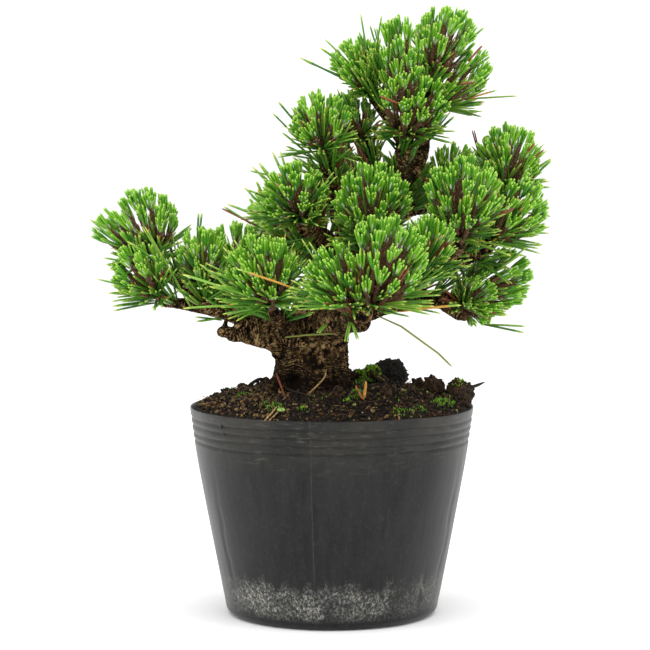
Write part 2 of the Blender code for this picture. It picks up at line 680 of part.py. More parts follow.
def make_mass(name, foot, way, centre, planes):
    """One mass: shoots from a stem, each a slim core that needles stand out of."""
    dome = (centre, MASSES[name][3] * MM)
    rng = random.Random(name)
    pieces = bpy.data.collections.new(name + "_pieces")
    bpy.context.scene.collection.children.link(pieces)
    hub = foot + way * STEM_LENGTH
    up = (centre - hub).normalized()
    stem = make_stem(foot, hub, up, MASSES[name][4] * MM, planes, rng)
    rise = way_out(hub, up, dome, planes)
    make_shoot(hub - up * SUNK, up, LEADER_RADIUS, LEADER_WHORLS, dome, planes, rng, pieces)
    for shoot in range(SIDE_SHOOTS):
        level = shoot / (SIDE_SHOOTS - 1)
        start = hub + up * rise * (FIRST_SHOOT + (LAST_SHOOT - FIRST_SHOOT) * level)
        tilt = SHOOT_TILTS[0] + (SHOOT_TILTS[1] - SHOOT_TILTS[0]) * level
        tilt = math.radians(tilt + rng.uniform(-TILT_SPREAD, TILT_SPREAD))
        direction = aside(up, tilt, GOLDEN_ANGLE * shoot + rng.uniform(-TURN_SPREAD, TURN_SPREAD))
        make_shoot(start, direction, CORE_RADIUS, SIDE_WHORLS, dome, planes, rng, pieces)
    join = stem.modifiers.new("join", "BOOLEAN")
    join.operation = "UNION"
    join.operand_type = "COLLECTION"
    join.collection = pieces
    join.solver = "MANIFOLD"
    bake(stem)
    stem.name = stem.data.name = name
    stem.data.materials.clear()
    stem.data.materials.append(material("needles", (0.085, 0.235, 0.035), 0.55))
    for piece in list(pieces.objects):
        bpy.data.objects.remove(piece)
    bpy.data.collections.remove(pieces)


make_pot()
limb_paths, limb_sleeves = make_limbs()
soil = make_soil("soil", 0.0, parts, material("soil", (0.030, 0.020, 0.013), 0.95))
cut(soil, limb_sleeves["trunk"])
bake(soil)
soil_sleeve = make_soil("soil_sleeve", 2 * GAP, cutters)
make_cutter(soil_sleeve)
for lump_name, (lump_spot, lump_radii, lump_colour) in LUMPS.items():
    make_lump(lump_name, lump_spot, lump_radii, lump_colour, soil_sleeve)
mass_seats = seats(limb_paths)
mass_spaces = spaces(mass_seats)
for mass_name, (mass_foot, mass_way, mass_centre) in mass_seats.items():
    make_mass(mass_name, mass_foot, mass_way, mass_centre, mass_spaces[mass_name])
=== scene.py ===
import json
import math
import random

import bpy
import numpy as np
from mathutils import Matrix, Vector, kdtree, noise

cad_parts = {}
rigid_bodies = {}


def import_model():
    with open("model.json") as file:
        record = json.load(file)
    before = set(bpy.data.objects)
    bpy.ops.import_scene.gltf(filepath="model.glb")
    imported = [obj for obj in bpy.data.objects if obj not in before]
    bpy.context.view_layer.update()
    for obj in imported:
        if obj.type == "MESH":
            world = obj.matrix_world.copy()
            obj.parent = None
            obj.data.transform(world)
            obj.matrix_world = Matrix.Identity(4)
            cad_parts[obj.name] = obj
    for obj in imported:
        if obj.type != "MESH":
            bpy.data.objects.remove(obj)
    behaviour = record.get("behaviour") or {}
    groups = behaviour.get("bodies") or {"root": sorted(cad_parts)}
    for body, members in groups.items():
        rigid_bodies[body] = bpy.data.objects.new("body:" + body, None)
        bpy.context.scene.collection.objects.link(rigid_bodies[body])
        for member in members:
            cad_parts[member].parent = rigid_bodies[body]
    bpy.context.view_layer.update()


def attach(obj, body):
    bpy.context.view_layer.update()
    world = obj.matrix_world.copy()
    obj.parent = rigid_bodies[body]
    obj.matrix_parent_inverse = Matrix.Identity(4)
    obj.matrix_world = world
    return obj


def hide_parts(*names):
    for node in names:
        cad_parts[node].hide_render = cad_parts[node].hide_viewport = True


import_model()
MM = 0.001

# Studio: a white sweep of paper under an evenly lit white tent, with a wide softbox overhead and two smaller
# ones at the sides, as plant sellers shoot their stock. None of it is part of the plant.
PAPER_SIZE = 24.0
PAPER_WHITE = (0.87, 0.87, 0.87)
CAMERA_PLACE = (-3.6 * MM, -1400 * MM, 274.7 * MM)
CAMERA_TILT = 4.96
CAMERA_LENS = 147.05
TENT_STRENGTH = 1.2
# Each softbox's place, aim, size and power.
SOFTBOXES = {
    "top_box": ((0.0, -0.2, 1.6), (0.0, 0.0, 0.15), 1.3, 17.0),
    "left_box": ((-1.3, -0.7, 0.9), (0.0, 0.0, 0.15), 0.8, 4.0),
    "right_box": ((1.3, -0.5, 0.9), (0.0, 0.0, 0.15), 0.8, 4.6),
}


def principled(name, colour, roughness, specular=0.5):
    """A material of one shader: returns the material and its shader node."""
    material = bpy.data.materials.new(name)
    material.use_nodes = True
    shader = material.node_tree.nodes["Principled BSDF"]
    shader.inputs["Base Color"].default_value = (*colour, 1.0)
    shader.inputs["Roughness"].default_value = roughness
    shader.inputs["Specular IOR Level"].default_value = specular
    return material, shader


def formed(name, points, faces, *finishes):
    """A mesh of points and faces in its finishes."""
    mesh = bpy.data.meshes.new(name)
    mesh.from_pydata(np.asarray(points).tolist(), [], faces)
    for finish in finishes:
        mesh.materials.append(finish)
    return mesh


def placed(thing_name, thing):
    """An object of a mesh, a lamp or a camera, in the scene."""
    made = bpy.data.objects.new(thing_name, thing)
    bpy.context.scene.collection.objects.link(made)
    return made


bpy.context.scene.view_settings.view_transform = "Standard"
half = PAPER_SIZE / 2
paper_corners = [(-half, -half, 0), (half, -half, 0), (half, half, 0), (-half, half, 0)]
paper_finish = principled("white_paper", PAPER_WHITE, 0.9, 0.1)[0]
paper = placed("paper_sweep", formed("paper_sweep", paper_corners, [(0, 1, 2, 3)], paper_finish))

tent = bpy.data.worlds.new("white_tent")
tent.use_nodes = True
tent.node_tree.nodes["Background"].inputs["Color"].default_value = (1.0, 1.0, 1.0, 1.0)
tent.node_tree.nodes["Background"].inputs["Strength"].default_value = TENT_STRENGTH
bpy.context.scene.world = tent
for box_name, (box_place, box_aim, box_size, box_power) in SOFTBOXES.items():
    lamp = bpy.data.lights.new(box_name, "AREA")
    lamp.size = box_size
    lamp.energy = box_power
    softbox = placed(box_name, lamp)
    softbox.location = box_place
    softbox.rotation_euler = (Vector(box_aim) - Vector(box_place)).to_track_quat("-Z", "Y").to_euler()

camera = placed("camera", bpy.data.cameras.new("camera"))
camera.location = CAMERA_PLACE
camera.rotation_euler = (math.radians(90 - CAMERA_TILT), 0.0, 0.0)
camera.data.lens = CAMERA_LENS
bpy.context.scene.camera = camera

# Film pot: thin black polythene, blown and heat-formed with four shallow ribs under the rim and a holed
# flat floor. The film is soft, so its rim waves and its wall is creased. Lime from watering stains its foot.
MOUTH_RADIUS = 75.0 * MM
FOOT_RADIUS = 55.6 * MM
WALL_SWELL = 1.45 * MM
SWELL_RISE = 1.6
POT_HEIGHT = 110.8 * MM
POT_FILM = 0.8 * MM
POT_FLOOR = 1.6 * MM
POT_CORNER = 5.5 * MM
POT_SIDES = 224
RIM_BEAD = 0.6 * MM
RIB_COUNT = 4
RIB_PITCH = 4.0 * MM
RIB_TOP = 5.6 * MM
RIBS_FROM = 90.0 * MM
RIB_DEPTH = 0.9 * MM
RIB_WIDTH = 0.75 * MM
FILM_WAVE = 0.55 * MM
RIM_WAVE = 0.9 * MM
# Each crease's turn in degrees, height, reach and depth.
CREASES = ((-38, 17, 7, 0.9), (-99.5, 60, 60, 0.22), (176, 21, 5, 1.3), (-150, 40, 30, 0.5),
           (-62, 70, 22, 0.3), (40, 35, 25, 0.6), (95, 60, 30, 0.5), (-22, 55, 40, 0.45))
CREASE_WIDTH = 1.1 * MM
# Turns in degrees and heights down the tear.
FILM_TEAR = ((-137.2, 107.2), (-139.6, 106.8), (-140.0, 104.6), (-139.0, 102.4), (-137.9, 100.6))
TEAR_RADIUS = 0.5 * MM
SEAM_TURN = math.radians(-98.6)
SEAM_WIDTH = 0.0032
# Share of lime round the pot, from the back round by the left, the front and the right.
LIME_SPREAD = ((0.05, 0.30), (0.12, 1.0), (0.215, 1.0), (0.247, 0.50), (0.270, 0.85), (0.305, 0.80),
               (0.345, 0.28), (0.41, 0.42), (0.50, 0.25), (0.68, 0.75), (0.80, 0.45), (0.92, 0.65),
               (1.0, 0.30))
FILM_COLOURS = {
    "deep": (0.0025, 0.0027, 0.0029),
    "drawn": (0.0110, 0.0114, 0.0108),
    "clouded": (0.021, 0.022, 0.0205),
    "scuffed": (0.025, 0.026, 0.0245),
    "dusty": (0.040, 0.037, 0.029),
    "dirty": (0.085, 0.079, 0.062),
    "seam": (0.034, 0.033, 0.028),
    "washed": (0.060, 0.063, 0.066),
    "lime_tan": (0.30, 0.27, 0.19),
    "lime_white": (0.56, 0.57, 0.53),
}
DRAIN_HOLES = 5
DRAIN_RADIUS = 4.0 * MM
DRAIN_CIRCLE = 34.0 * MM


def lofted(rows):
    """Points and faces of a closed skin over rings of points, with a fan at each end."""
    rings, sides = rows.shape[:2]
    points = np.concatenate([rows.reshape(-1, 3), rows[0].mean(0)[None], rows[-1].mean(0)[None]])
    start, end = rings * sides, rings * sides + 1
    faces = []
    for step in range(sides):
        after = (step + 1) % sides
        faces.append((start, after, step))
        last = (rings - 1) * sides
        faces.append((end, last + step, last + after))
        for ring in range(rings - 1):
            low, high = ring * sides, (ring + 1) * sides
            faces.append((low + step, low + after, high + after, high + step))
    return points, faces


def unit(vectors):
    """The same directions, one long."""
    return vectors / np.linalg.norm(vectors, axis=-1, keepdims=True)


def ring_rows(points, radii, sides):
    """Rings of points square to a path, without twist."""
    points = np.asarray(points, float)
    ways = unit(np.gradient(points, axis=0))
    side = np.cross(ways[0], (0.31, 0.22, 0.92))
    turns = np.arange(sides) * math.tau / sides
    rows = []
    for point, way, radius in zip(points, ways, radii):
        side = unit(side - way * side.dot(way))
        back = np.cross(way, side)
        rows.append(point + radius * (np.cos(turns)[:, None] * side + np.sin(turns)[:, None] * back))
    return np.array(rows)


def show(name, mesh, slot, *nodes):
    """Puts a mesh in the scene as a piece of the plant, in place of the solids that it stands for."""
    piece = placed(name, mesh)
    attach(piece, "root")
    if nodes:
        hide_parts(*nodes)
    return piece


def wall_radius(height):
    """Outer radius of the wall at a height: a cone that swells most above its middle."""
    level = height / POT_HEIGHT
    swell = WALL_SWELL * math.sin(math.pi * level ** SWELL_RISE)
    return FOOT_RADIUS + (MOUTH_RADIUS - FOOT_RADIUS) * level + swell


def film_rows():
    """Rings from the middle of the underside, up the outside, over the rim and down the inside."""
    angles = np.arange(POT_SIDES) * math.tau / POT_SIDES
    corner_x = wall_radius(POT_CORNER) - POT_CORNER
    profile = [(r, 0.0, 1) for r in np.linspace(0.04, 1.0, 16) * corner_x]
    for turn in np.radians(np.linspace(12, 90, 8)):
        profile.append((corner_x + POT_CORNER * math.sin(turn), POT_CORNER * (1 - math.cos(turn)), 1))
    for low, high, count in ((POT_CORNER, RIBS_FROM, 62), (RIBS_FROM, POT_HEIGHT - RIM_BEAD, 46)):
        profile += [(wall_radius(height), height, 1) for height in np.linspace(low, high, count)[1:]]
    profile.append((MOUTH_RADIUS - RIM_BEAD / 2, POT_HEIGHT, 1))
    for height in np.linspace(POT_HEIGHT - RIM_BEAD, POT_CORNER, 24):
        profile.append((wall_radius(height) - POT_FILM, height, 0))
    profile += [(r, POT_FLOOR, 0) for r in np.linspace(1.0, 0.04, 8) * (corner_x + POT_CORNER / 2)]
    rows = np.zeros((len(profile), POT_SIDES, 3))
    for row, (radius, height, outer) in enumerate(profile):
        for side, angle in enumerate(angles):
            away = Vector((math.cos(angle), math.sin(angle), 0.0))
            level = height / POT_HEIGHT
            spot = away * 2.2 + Vector((0, 0, level * 2.6))
            wave = noise.noise(spot) * FILM_WAVE * min(1.0, height / POT_CORNER)
            wave += noise.noise(away * 1.4 + Vector((0, 0, 7))) * RIM_WAVE * level ** 6
            if outer and height > POT_CORNER / 3:
                for rib in range(RIB_COUNT):
                    rib_height = POT_HEIGHT - RIB_TOP - rib * RIB_PITCH
                    drop = height - rib_height - noise.noise(away * 2 + Vector((0, rib * 4, 0))) * RIB_WIDTH
                    wave -= RIB_DEPTH * math.exp(-(drop / RIB_WIDTH) ** 2)
                for crease_angle, crease_height, crease_reach, depth in CREASES:
                    off = (angle - math.radians(crease_angle) + math.pi) % math.tau - math.pi
                    off = off * radius + noise.noise(Vector((crease_angle, height * 60, 0))) * 2 * MM
                    fade = math.exp(-((height - crease_height * MM) / (crease_reach * MM)) ** 2)
                    wave -= depth * MM * fade * math.exp(-(off / CREASE_WIDTH) ** 2)
            lift = noise.noise(away * 1.7 + Vector((3, 0, 0))) * RIM_WAVE * max(0.0, level - 0.9) * 10
            rows[row, side] = (away.x * (radius + wave), away.y * (radius + wave), height + lift)
    return rows


def added(tree, kind, links=(), **values):
    """A node whose inputs take numbers, colours or other nodes' outputs."""
    made = tree.nodes.new(kind)
    for key, value in values.items():
        if key in made.inputs:
            made.inputs[key].default_value = value
        else:
            setattr(made, key, value)
    for socket, source in links:
        if isinstance(source, bpy.types.NodeSocket):
            tree.links.new(source, made.inputs[socket])
        else:
            made.inputs[socket].default_value = source
    return made


def figured(tree, operation, *values):
    """Result of one sum or product."""
    return added(tree, "ShaderNodeMath", enumerate(values), operation=operation).outputs[0]


def spanned(tree, source, low, high, start=0.0, end=1.0, clamp=True):
    """A value carried over from one span to another."""
    spans = [("Value", source), ("From Min", low), ("From Max", high), ("To Min", start), ("To Max", end)]
    return added(tree, "ShaderNodeMapRange", spans, clamp=clamp).outputs[0]


def ramp(tree, source, *stops):
    """Colour of a ramp, whose stops are places with a grey or a colour."""
    made = added(tree, "ShaderNodeValToRGB", [("Fac", source)])
    for stop, (where, value) in enumerate(stops):
        element = made.color_ramp.elements[stop] if stop < 2 else made.color_ramp.elements.new(where)
        element.position = where
        element.color = (*value, 1.0) if isinstance(value, tuple) else (value, value, value, 1.0)
    return made.outputs["Color"]


def mixed(tree, share, one, other):
    """One colour laid over another by a share."""
    ends = [(6, one), (7, other)]
    ends = [(socket, (*value, 1.0) if isinstance(value, tuple) else value) for socket, value in ends]
    return added(tree, "ShaderNodeMix", [("Factor", share), *ends], data_type="RGBA").outputs[2]


def film_material():
    """Dull black polythene: drawing streaks, a pale seam, dust under its rim and lime at its foot."""
    material, shader = principled("black_film", (0.03, 0.03, 0.03), 0.5, 0.21)
    shader.inputs["Sheen Weight"].default_value = 0.17
    shader.inputs["Sheen Roughness"].default_value = 0.4
    tree = material.node_tree
    place = added(tree, "ShaderNodeTexCoord").outputs["Object"]

    def noisy(*scale, detail=5.0, roughness=0.6):
        stretched = added(tree, "ShaderNodeMapping", [("Vector", place)], Scale=scale).outputs[0]
        return added(tree, "ShaderNodeTexNoise", [("Vector", stretched)], Scale=1.0, Detail=detail,
                     Roughness=roughness).outputs["Fac"]

    def stepped(source, *stops):
        return ramp(tree, source, *stops)

    def product(one, other):
        return figured(tree, "MULTIPLY", one, other)

    def over(share, colour_name):
        return mixed(tree, share, film, FILM_COLOURS[colour_name])

    streaks, clouds, patches = noisy(220, 220, 5), noisy(28, 28, 20), noisy(75, 75, 95)
    grains = noisy(780, 780, 620, detail=10.0, roughness=0.85)
    scuffs = noisy(600, 600, 380, detail=6.0, roughness=0.7)
    specks = noisy(150, 150, 700)
    split = added(tree, "ShaderNodeSeparateXYZ", [("Vector", place)])
    height = split.outputs["Z"]
    film = FILM_COLOURS["deep"]
    film = over(stepped(streaks, (0.35, 0.0), (0.72, 1.0)), "drawn")
    film = over(stepped(clouds, (0.42, 0.0), (0.80, 0.4)), "clouded")
    film = over(stepped(scuffs, (0.50, 0.0), (0.72, 0.55)), "scuffed")
    dust = product(stepped(height, (0.082, 0.0), (0.100, 0.5)), stepped(clouds, (0.38, 0.2), (0.62, 1.0)))
    film = over(dust, "dusty")
    dirt = product(stepped(height, (0.078, 0.0), (0.096, 0.7)), stepped(specks, (0.53, 0.0), (0.70, 1.0)))
    film = over(product(dirt, stepped(patches, (0.42, 0.1), (0.60, 1.0))), "dirty")
    turn = figured(tree, "ARCTAN2", split.outputs["Y"], split.outputs["X"])
    seam = figured(tree, "COMPARE", turn, SEAM_TURN, SEAM_WIDTH)
    film = over(product(seam, stepped(scuffs, (0.35, 0.25), (0.6, 1.0))), "seam")
    edge = figured(tree, "MULTIPLY_ADD", noisy(130, 130, 28, detail=8.0, roughness=0.75), -0.036, height)
    wash = product(stepped(edge, (0.0, 1.0), (0.007, 0.0)),
                   stepped(spanned(tree, turn, -math.pi, math.pi), *LIME_SPREAD))
    wash = product(wash, stepped(height, (0.004, 0.0), (0.009, 1.0)))
    wash = product(wash, stepped(patches, (0.36, 0.25), (0.60, 1.0)))
    film = over(product(wash, stepped(scuffs, (0.36, 0.2), (0.62, 0.8))), "washed")
    lime = mixed(tree, stepped(scuffs, (0.40, 0.0), (0.60, 1.0)), FILM_COLOURS["lime_tan"],
                 FILM_COLOURS["lime_white"])
    film = mixed(tree, product(wash, stepped(grains, (0.49, 0.0), (0.585, 1.0))), film, lime)
    tree.links.new(film, shader.inputs["Base Color"])
    tree.links.new(figured(tree, "MULTIPLY_ADD", streaks, 0.22, 0.34), shader.inputs["Roughness"])
    bump = added(tree, "ShaderNodeBump", [("Height", streaks)], Strength=0.25, Distance=0.0004)
    tree.links.new(bump.outputs["Normal"], shader.inputs["Normal"])
    return material


def tear_line(count):
    """Points down a small hooked tear in the film, on its outer face."""
    turns, heights = zip(*FILM_TEAR)
    places = np.linspace(0, len(FILM_TEAR) - 1, count)
    turns = np.radians(np.interp(places, range(len(FILM_TEAR)), turns))
    heights = np.interp(places, range(len(FILM_TEAR)), heights) * MM
    radii = np.array([wall_radius(height) for height in heights])
    return np.stack([radii * np.cos(turns), radii * np.sin(turns), heights], axis=1)


film_pot = show("film_pot", formed("film_pot", *lofted(film_rows()), film_material()), "pot_film", "pot")
drill_turns = np.arange(24) * math.tau / 24
for hole in range(DRAIN_HOLES):
    hole_turn = math.tau * hole / DRAIN_HOLES
    ring = np.stack([DRAIN_CIRCLE * math.cos(hole_turn) + DRAIN_RADIUS * np.cos(drill_turns),
                     DRAIN_CIRCLE * math.sin(hole_turn) + DRAIN_RADIUS * np.sin(drill_turns)], axis=1)
    drill_rows = np.stack([np.column_stack([ring, np.full(24, z)]) for z in (-4 * MM, 4 * MM)])
    drill = placed("drain_drill", formed("drain_drill", *lofted(drill_rows)))
    pierced = film_pot.modifiers.new("drain_hole", "BOOLEAN")
    pierced.operation = "DIFFERENCE"
    pierced.solver = "MANIFOLD"
    pierced.object = drill
bpy.context.view_layer.update()
pierced_mesh = bpy.data.meshes.new_from_object(film_pot.evaluated_get(bpy.context.evaluated_depsgraph_get()))
film_pot.modifiers.clear()
film_pot.data = pierced_mesh
pierced_mesh.shade_smooth()
pierced_mesh.set_sharp_from_angle(angle=math.radians(50))
for drill in [o for o in bpy.data.objects if o.name.startswith("drain_drill")]:
    bpy.data.objects.remove(drill)

tear_rows = ring_rows(tear_line(14), np.sin(np.linspace(0.3, 2.8, 14)) * TEAR_RADIUS, 7)
tear_mesh = formed("film_tear", *lofted(tear_rows), film_material())
tear_mesh.shade_smooth()
show("film_tear", tear_mesh, "pot_film")

# Soil: moist fibrous peat with bark crumbs and tan grit, filled to the rim and mounded up round the trunk.
# The top is one rough skin, and crumbs and fibres of five colours lie pressed into it.
SOIL_EDGE_DROP = 1.5 * MM
SOIL_CROWN = 12.0 * MM
SOIL_SHOULDER = 3
SOIL_DIP = 5.0 * MM
SOIL_DIP_RADIUS = 24.0 * MM
SOIL_ROUGHNESS = 1.1 * MM
SOIL_WAVES = (190, 170, 60)
SOIL_RIPPLES = (410, 330, 0.6)
SOIL_EDGE = MOUTH_RADIUS - 2.6 * MM
SOIL_SIDES = 220
SOIL_RINGS = 74
TRUNK_FOOT = (-11 * MM, 0.0)
CLOD_DEPTH = 1.3 * MM
CRUMBS = 9500
CRUMB_SIZE = (0.32, 1.20)
# Each clod's place and radius.
CLODS = ((54, 2, 5.6), (46, 12, 4.0), (60, -14, 3.2), (50, -22, 2.6), (-57, 14, 2.2), (-48, 26, 2.7),
         (-62, -4, 1.8), (-36, 34, 3.2), (20, 50, 4.0), (-8, 55, 3.4), (14, 30, 4.6), (22, 27, 5.4),
         (27, 20, 3.6), (8, 38, 4.2), (3, -33, 2.4), (28, -30, 2.8), (40, -12, 3.0), (63, 16, 3.2))
CLOD_SEAT = 0.35
CLOD_SWELL = 0.45
FIBRES = 2600
PEAT_COLOURS = {
    "peat_dark": (0.006, 0.004, 0.0025),
    "peat_brown": (0.020, 0.012, 0.007),
    "peat_rust": (0.062, 0.028, 0.011),
    "bark_tan": (0.195, 0.118, 0.046),
    "grit_pale": (0.34, 0.26, 0.14),
}
CRUMB_SHARES = (0.42, 0.27, 0.21, 0.085, 0.015)
FIBRE_SHARES = (0.24, 0.27, 0.31, 0.16, 0.02)
LEFT_GRIT_FROM = -22 * MM
LEFT_GRIT_SHARE = 0.29
SOIL_SEED = 11


def soil_height(x, y):
    """Height of the soil's mound at a place, as in the solid."""
    reach = math.hypot(x, y) / (MOUTH_RADIUS - 1.2 * MM)
    mound = SOIL_CROWN * (1 - reach ** SOIL_SHOULDER)
    from_trunk = math.hypot(x - TRUNK_FOOT[0], y - TRUNK_FOOT[1])
    dip = SOIL_DIP * math.exp(-(from_trunk / SOIL_DIP_RADIUS) ** 2)
    across, deep, slant = SOIL_WAVES
    bumps = math.sin(x * across + 1) * math.cos(y * deep - x * slant)
    across, deep, share = SOIL_RIPPLES
    bumps += share * math.sin(x * across - y * deep)
    return POT_HEIGHT - SOIL_EDGE_DROP + mound - dip + bumps * SOIL_ROUGHNESS * (1.2 - reach)


def ground(x, y):
    """Height of the soil's rough skin at a place."""
    rough = noise.fractal(Vector((x, y, 0)) * 260, 0.7, 2.1, 4) * CLOD_DEPTH
    inside = max(0.0, min(1.0, (SOIL_EDGE - math.hypot(x, y)) / (4 * MM)))
    return soil_height(x, y) + rough * (0.35 + 0.65 * inside)


def speckled(material, scale, dark, light):
    """Gives a material a fine mottle of two colours and a bump of the same grain."""
    tree = material.node_tree
    shader = tree.nodes["Principled BSDF"]
    place = added(tree, "ShaderNodeTexCoord").outputs["Object"]
    grain = added(tree, "ShaderNodeTexNoise", [("Vector", place)], Scale=scale, Detail=6.0).outputs["Fac"]
    tree.links.new(ramp(tree, grain, (0.36, dark), (0.68, light)), shader.inputs["Base Color"])
    bump = added(tree, "ShaderNodeBump", [("Height", grain)], Strength=0.6, Distance=0.001)
    tree.links.new(bump.outputs["Normal"], shader.inputs["Normal"])
    return material


def mottled(name, colour, roughness):
    """A rough dull finish that varies finely between a darker and a lighter shade of one colour."""
    dark, light = (tuple(channel * share for channel in colour) for share in (0.55, 1.45))
    return speckled(principled(name, colour, roughness, 0.25)[0], 900, dark, light)


def peat_materials():
    """Five peat colours, from the darkest damp peat to the palest dry grit."""
    return [mottled(name, colour, 0.85) for name, colour in PEAT_COLOURS.items()]


def joined(name, shapes, pattern, slots, materials):
    """One mesh of many like shapes, from each one's points, the faces they share and each face's colour."""
    count, points = shapes.shape[:2]
    corners = np.concatenate([np.array(face) for face in pattern])
    sizes = np.tile([len(face) for face in pattern], count)
    loops = (corners[None, :] + np.arange(count)[:, None] * points).ravel()
    mesh = bpy.data.meshes.new(name)
    mesh.vertices.add(count * points)
    mesh.vertices.foreach_set("co", shapes.astype(np.float32).ravel())
    mesh.loops.add(len(loops))
    mesh.loops.foreach_set("vertex_index", loops.astype(np.int32))
    mesh.polygons.add(len(sizes))
    mesh.polygons.foreach_set("loop_start", (np.cumsum(sizes) - sizes).astype(np.int32))
    for material in materials:
        mesh.materials.append(material)
    mesh.polygons.foreach_set("material_index", slots.astype(np.int32).ravel())
    mesh.update(calc_edges=True)
    mesh.shade_smooth()
    return mesh


def blade_faces(rings, sides):
    """Faces of one blade: its root, its sides ring by ring, and its point."""
    faces = [tuple(reversed(range(sides)))]
    for ring in range(rings - 1):
        for side in range(sides):
            after = (side + 1) % sides
            low, high = ring * sides, (ring + 1) * sides
            faces.append((low + side, low + after, high + after, high + side))
    last = (rings - 1) * sides
    faces += [(last + side, last + (side + 1) % sides, rings * sides) for side in range(sides)]
    return faces


def blades(roots, headings, flats, lengths, widths, thicks, bends, profile, sides):
    """Points of many tapering blades. A profile is (place along, size) rings, and a bend lifts the point."""
    flats = unit(flats - headings * (flats * headings).sum(-1, keepdims=True))
    backs = np.cross(headings, flats)
    turns = np.arange(sides) * math.tau / sides
    rings = []
    for place, size in profile:
        middle = roots + headings * (lengths * place)[:, None]
        middle = middle + backs * (bends * lengths * place ** 2)[:, None]
        for turn in turns:
            wide = (widths / 2 * size * math.cos(turn))[:, None]
            deep = (thicks / 2 * size * math.sin(turn))[:, None]
            rings.append(middle + flats * wide + backs * deep)
    rings.append(roots + headings * lengths[:, None] + backs * (bends * lengths)[:, None])
    return np.stack(rings, axis=1)


def ball(levels):
    """Points and faces of a round ball of triangles."""
    golden = (1 + 5 ** 0.5) / 2
    points = [Vector(p).normalized() for p in (
        (-1, golden, 0), (1, golden, 0), (-1, -golden, 0), (1, -golden, 0), (0, -1, golden), (0, 1, golden),
        (0, -1, -golden), (0, 1, -golden), (golden, 0, -1), (golden, 0, 1), (-golden, 0, -1),
        (-golden, 0, 1))]
    faces = [(0, 11, 5), (0, 5, 1), (0, 1, 7), (0, 7, 10), (0, 10, 11), (1, 5, 9), (5, 11, 4), (11, 10, 2),
             (10, 7, 6), (7, 1, 8), (3, 9, 4), (3, 4, 2), (3, 2, 6), (3, 6, 8), (3, 8, 9), (4, 9, 5),
             (2, 4, 11), (6, 2, 10), (8, 6, 7), (9, 8, 1)]
    for _ in range(levels):
        middles, finer = {}, []
        for a, b, c in faces:
            between = []
            for one, other in ((a, b), (b, c), (c, a)):
                key = (min(one, other), max(one, other))
                if key not in middles:
                    middles[key] = len(points)
                    points.append(((points[one] + points[other]) / 2).normalized())
                between.append(middles[key])
            ab, bc, ca = between
            finer += [(a, ab, ca), (b, bc, ab), (c, ca, bc), (ab, bc, ca)]
        faces = finer
    return np.array(points), faces


def turned(rng, count):
    """Random rotations as matrices."""
    one = unit(rng.normal(size=(count, 3)))
    two = rng.normal(size=(count, 3))
    two = unit(two - one * (one * two).sum(-1, keepdims=True))
    return np.stack([one, two, np.cross(one, two)], axis=2)


soil_turns = np.arange(SOIL_SIDES) * math.tau / SOIL_SIDES
soil_rows = []
for ball_radius, ball_height in ((2, 3), (40, 3), (46, 8), (56, 30), (64, 75), (70, 100)):
    soil_rows.append([(ball_radius * MM * math.cos(t), ball_radius * MM * math.sin(t), ball_height * MM)
                      for t in soil_turns])
for soil_radius in np.linspace(SOIL_EDGE, 0.6 * MM, SOIL_RINGS):
    around = [(soil_radius * math.cos(t), soil_radius * math.sin(t)) for t in soil_turns]
    soil_rows.append([(x, y, ground(x, y)) for x, y in around])
soil_finish = speckled(principled("peat_skin", (0.02, 0.013, 0.008), 0.9, 0.2)[0], 420,
                       (0.003, 0.002, 0.0015), (0.018, 0.011, 0.006))
soil_mesh = formed("soil_skin", *lofted(np.array(soil_rows)), soil_finish)
soil_mesh.shade_smooth()
show("soil_skin", soil_mesh, "soil", "soil")

rng = np.random.default_rng(SOIL_SEED)
crumb_points, crumb_faces = ball(0)
crumb_radius = np.sqrt(rng.uniform(0, 1, CRUMBS)) * (SOIL_EDGE - 1 * MM)
crumb_turn = rng.uniform(0, math.tau, CRUMBS)
crumb_x, crumb_y = crumb_radius * np.cos(crumb_turn), crumb_radius * np.sin(crumb_turn)
crumb_size = np.exp(rng.uniform(math.log(CRUMB_SIZE[0]), math.log(CRUMB_SIZE[1]), CRUMBS)) * MM
crumb_z = np.array([ground(x, y) for x, y in zip(crumb_x, crumb_y)])
crumb_z = crumb_z + crumb_size * rng.uniform(-0.1, 0.5, CRUMBS)
crumb_form = crumb_points[None] * (1 + rng.uniform(-0.28, 0.28, (CRUMBS, len(crumb_points), 1)))
crumb_form = crumb_form * (crumb_size[:, None] * rng.uniform(0.55, 1.3, (CRUMBS, 3)))[:, None]
crumb_form = np.einsum("nij,npj->npi", turned(rng, CRUMBS), crumb_form)
crumb_form += np.stack([crumb_x, crumb_y, crumb_z], axis=1)[:, None]
crumb_tint = rng.choice(len(PEAT_COLOURS), CRUMBS, p=CRUMB_SHARES)
left_grit = (crumb_x < LEFT_GRIT_FROM) & (rng.uniform(size=CRUMBS) < LEFT_GRIT_SHARE)
crumb_tint[left_grit] = list(PEAT_COLOURS).index("bark_tan")
crumb_slots = np.repeat(crumb_tint, len(crumb_faces))
crumb_mesh = joined("soil_crumbs", crumb_form, crumb_faces, crumb_slots, peat_materials())
show("soil_crumbs", crumb_mesh, "soil")

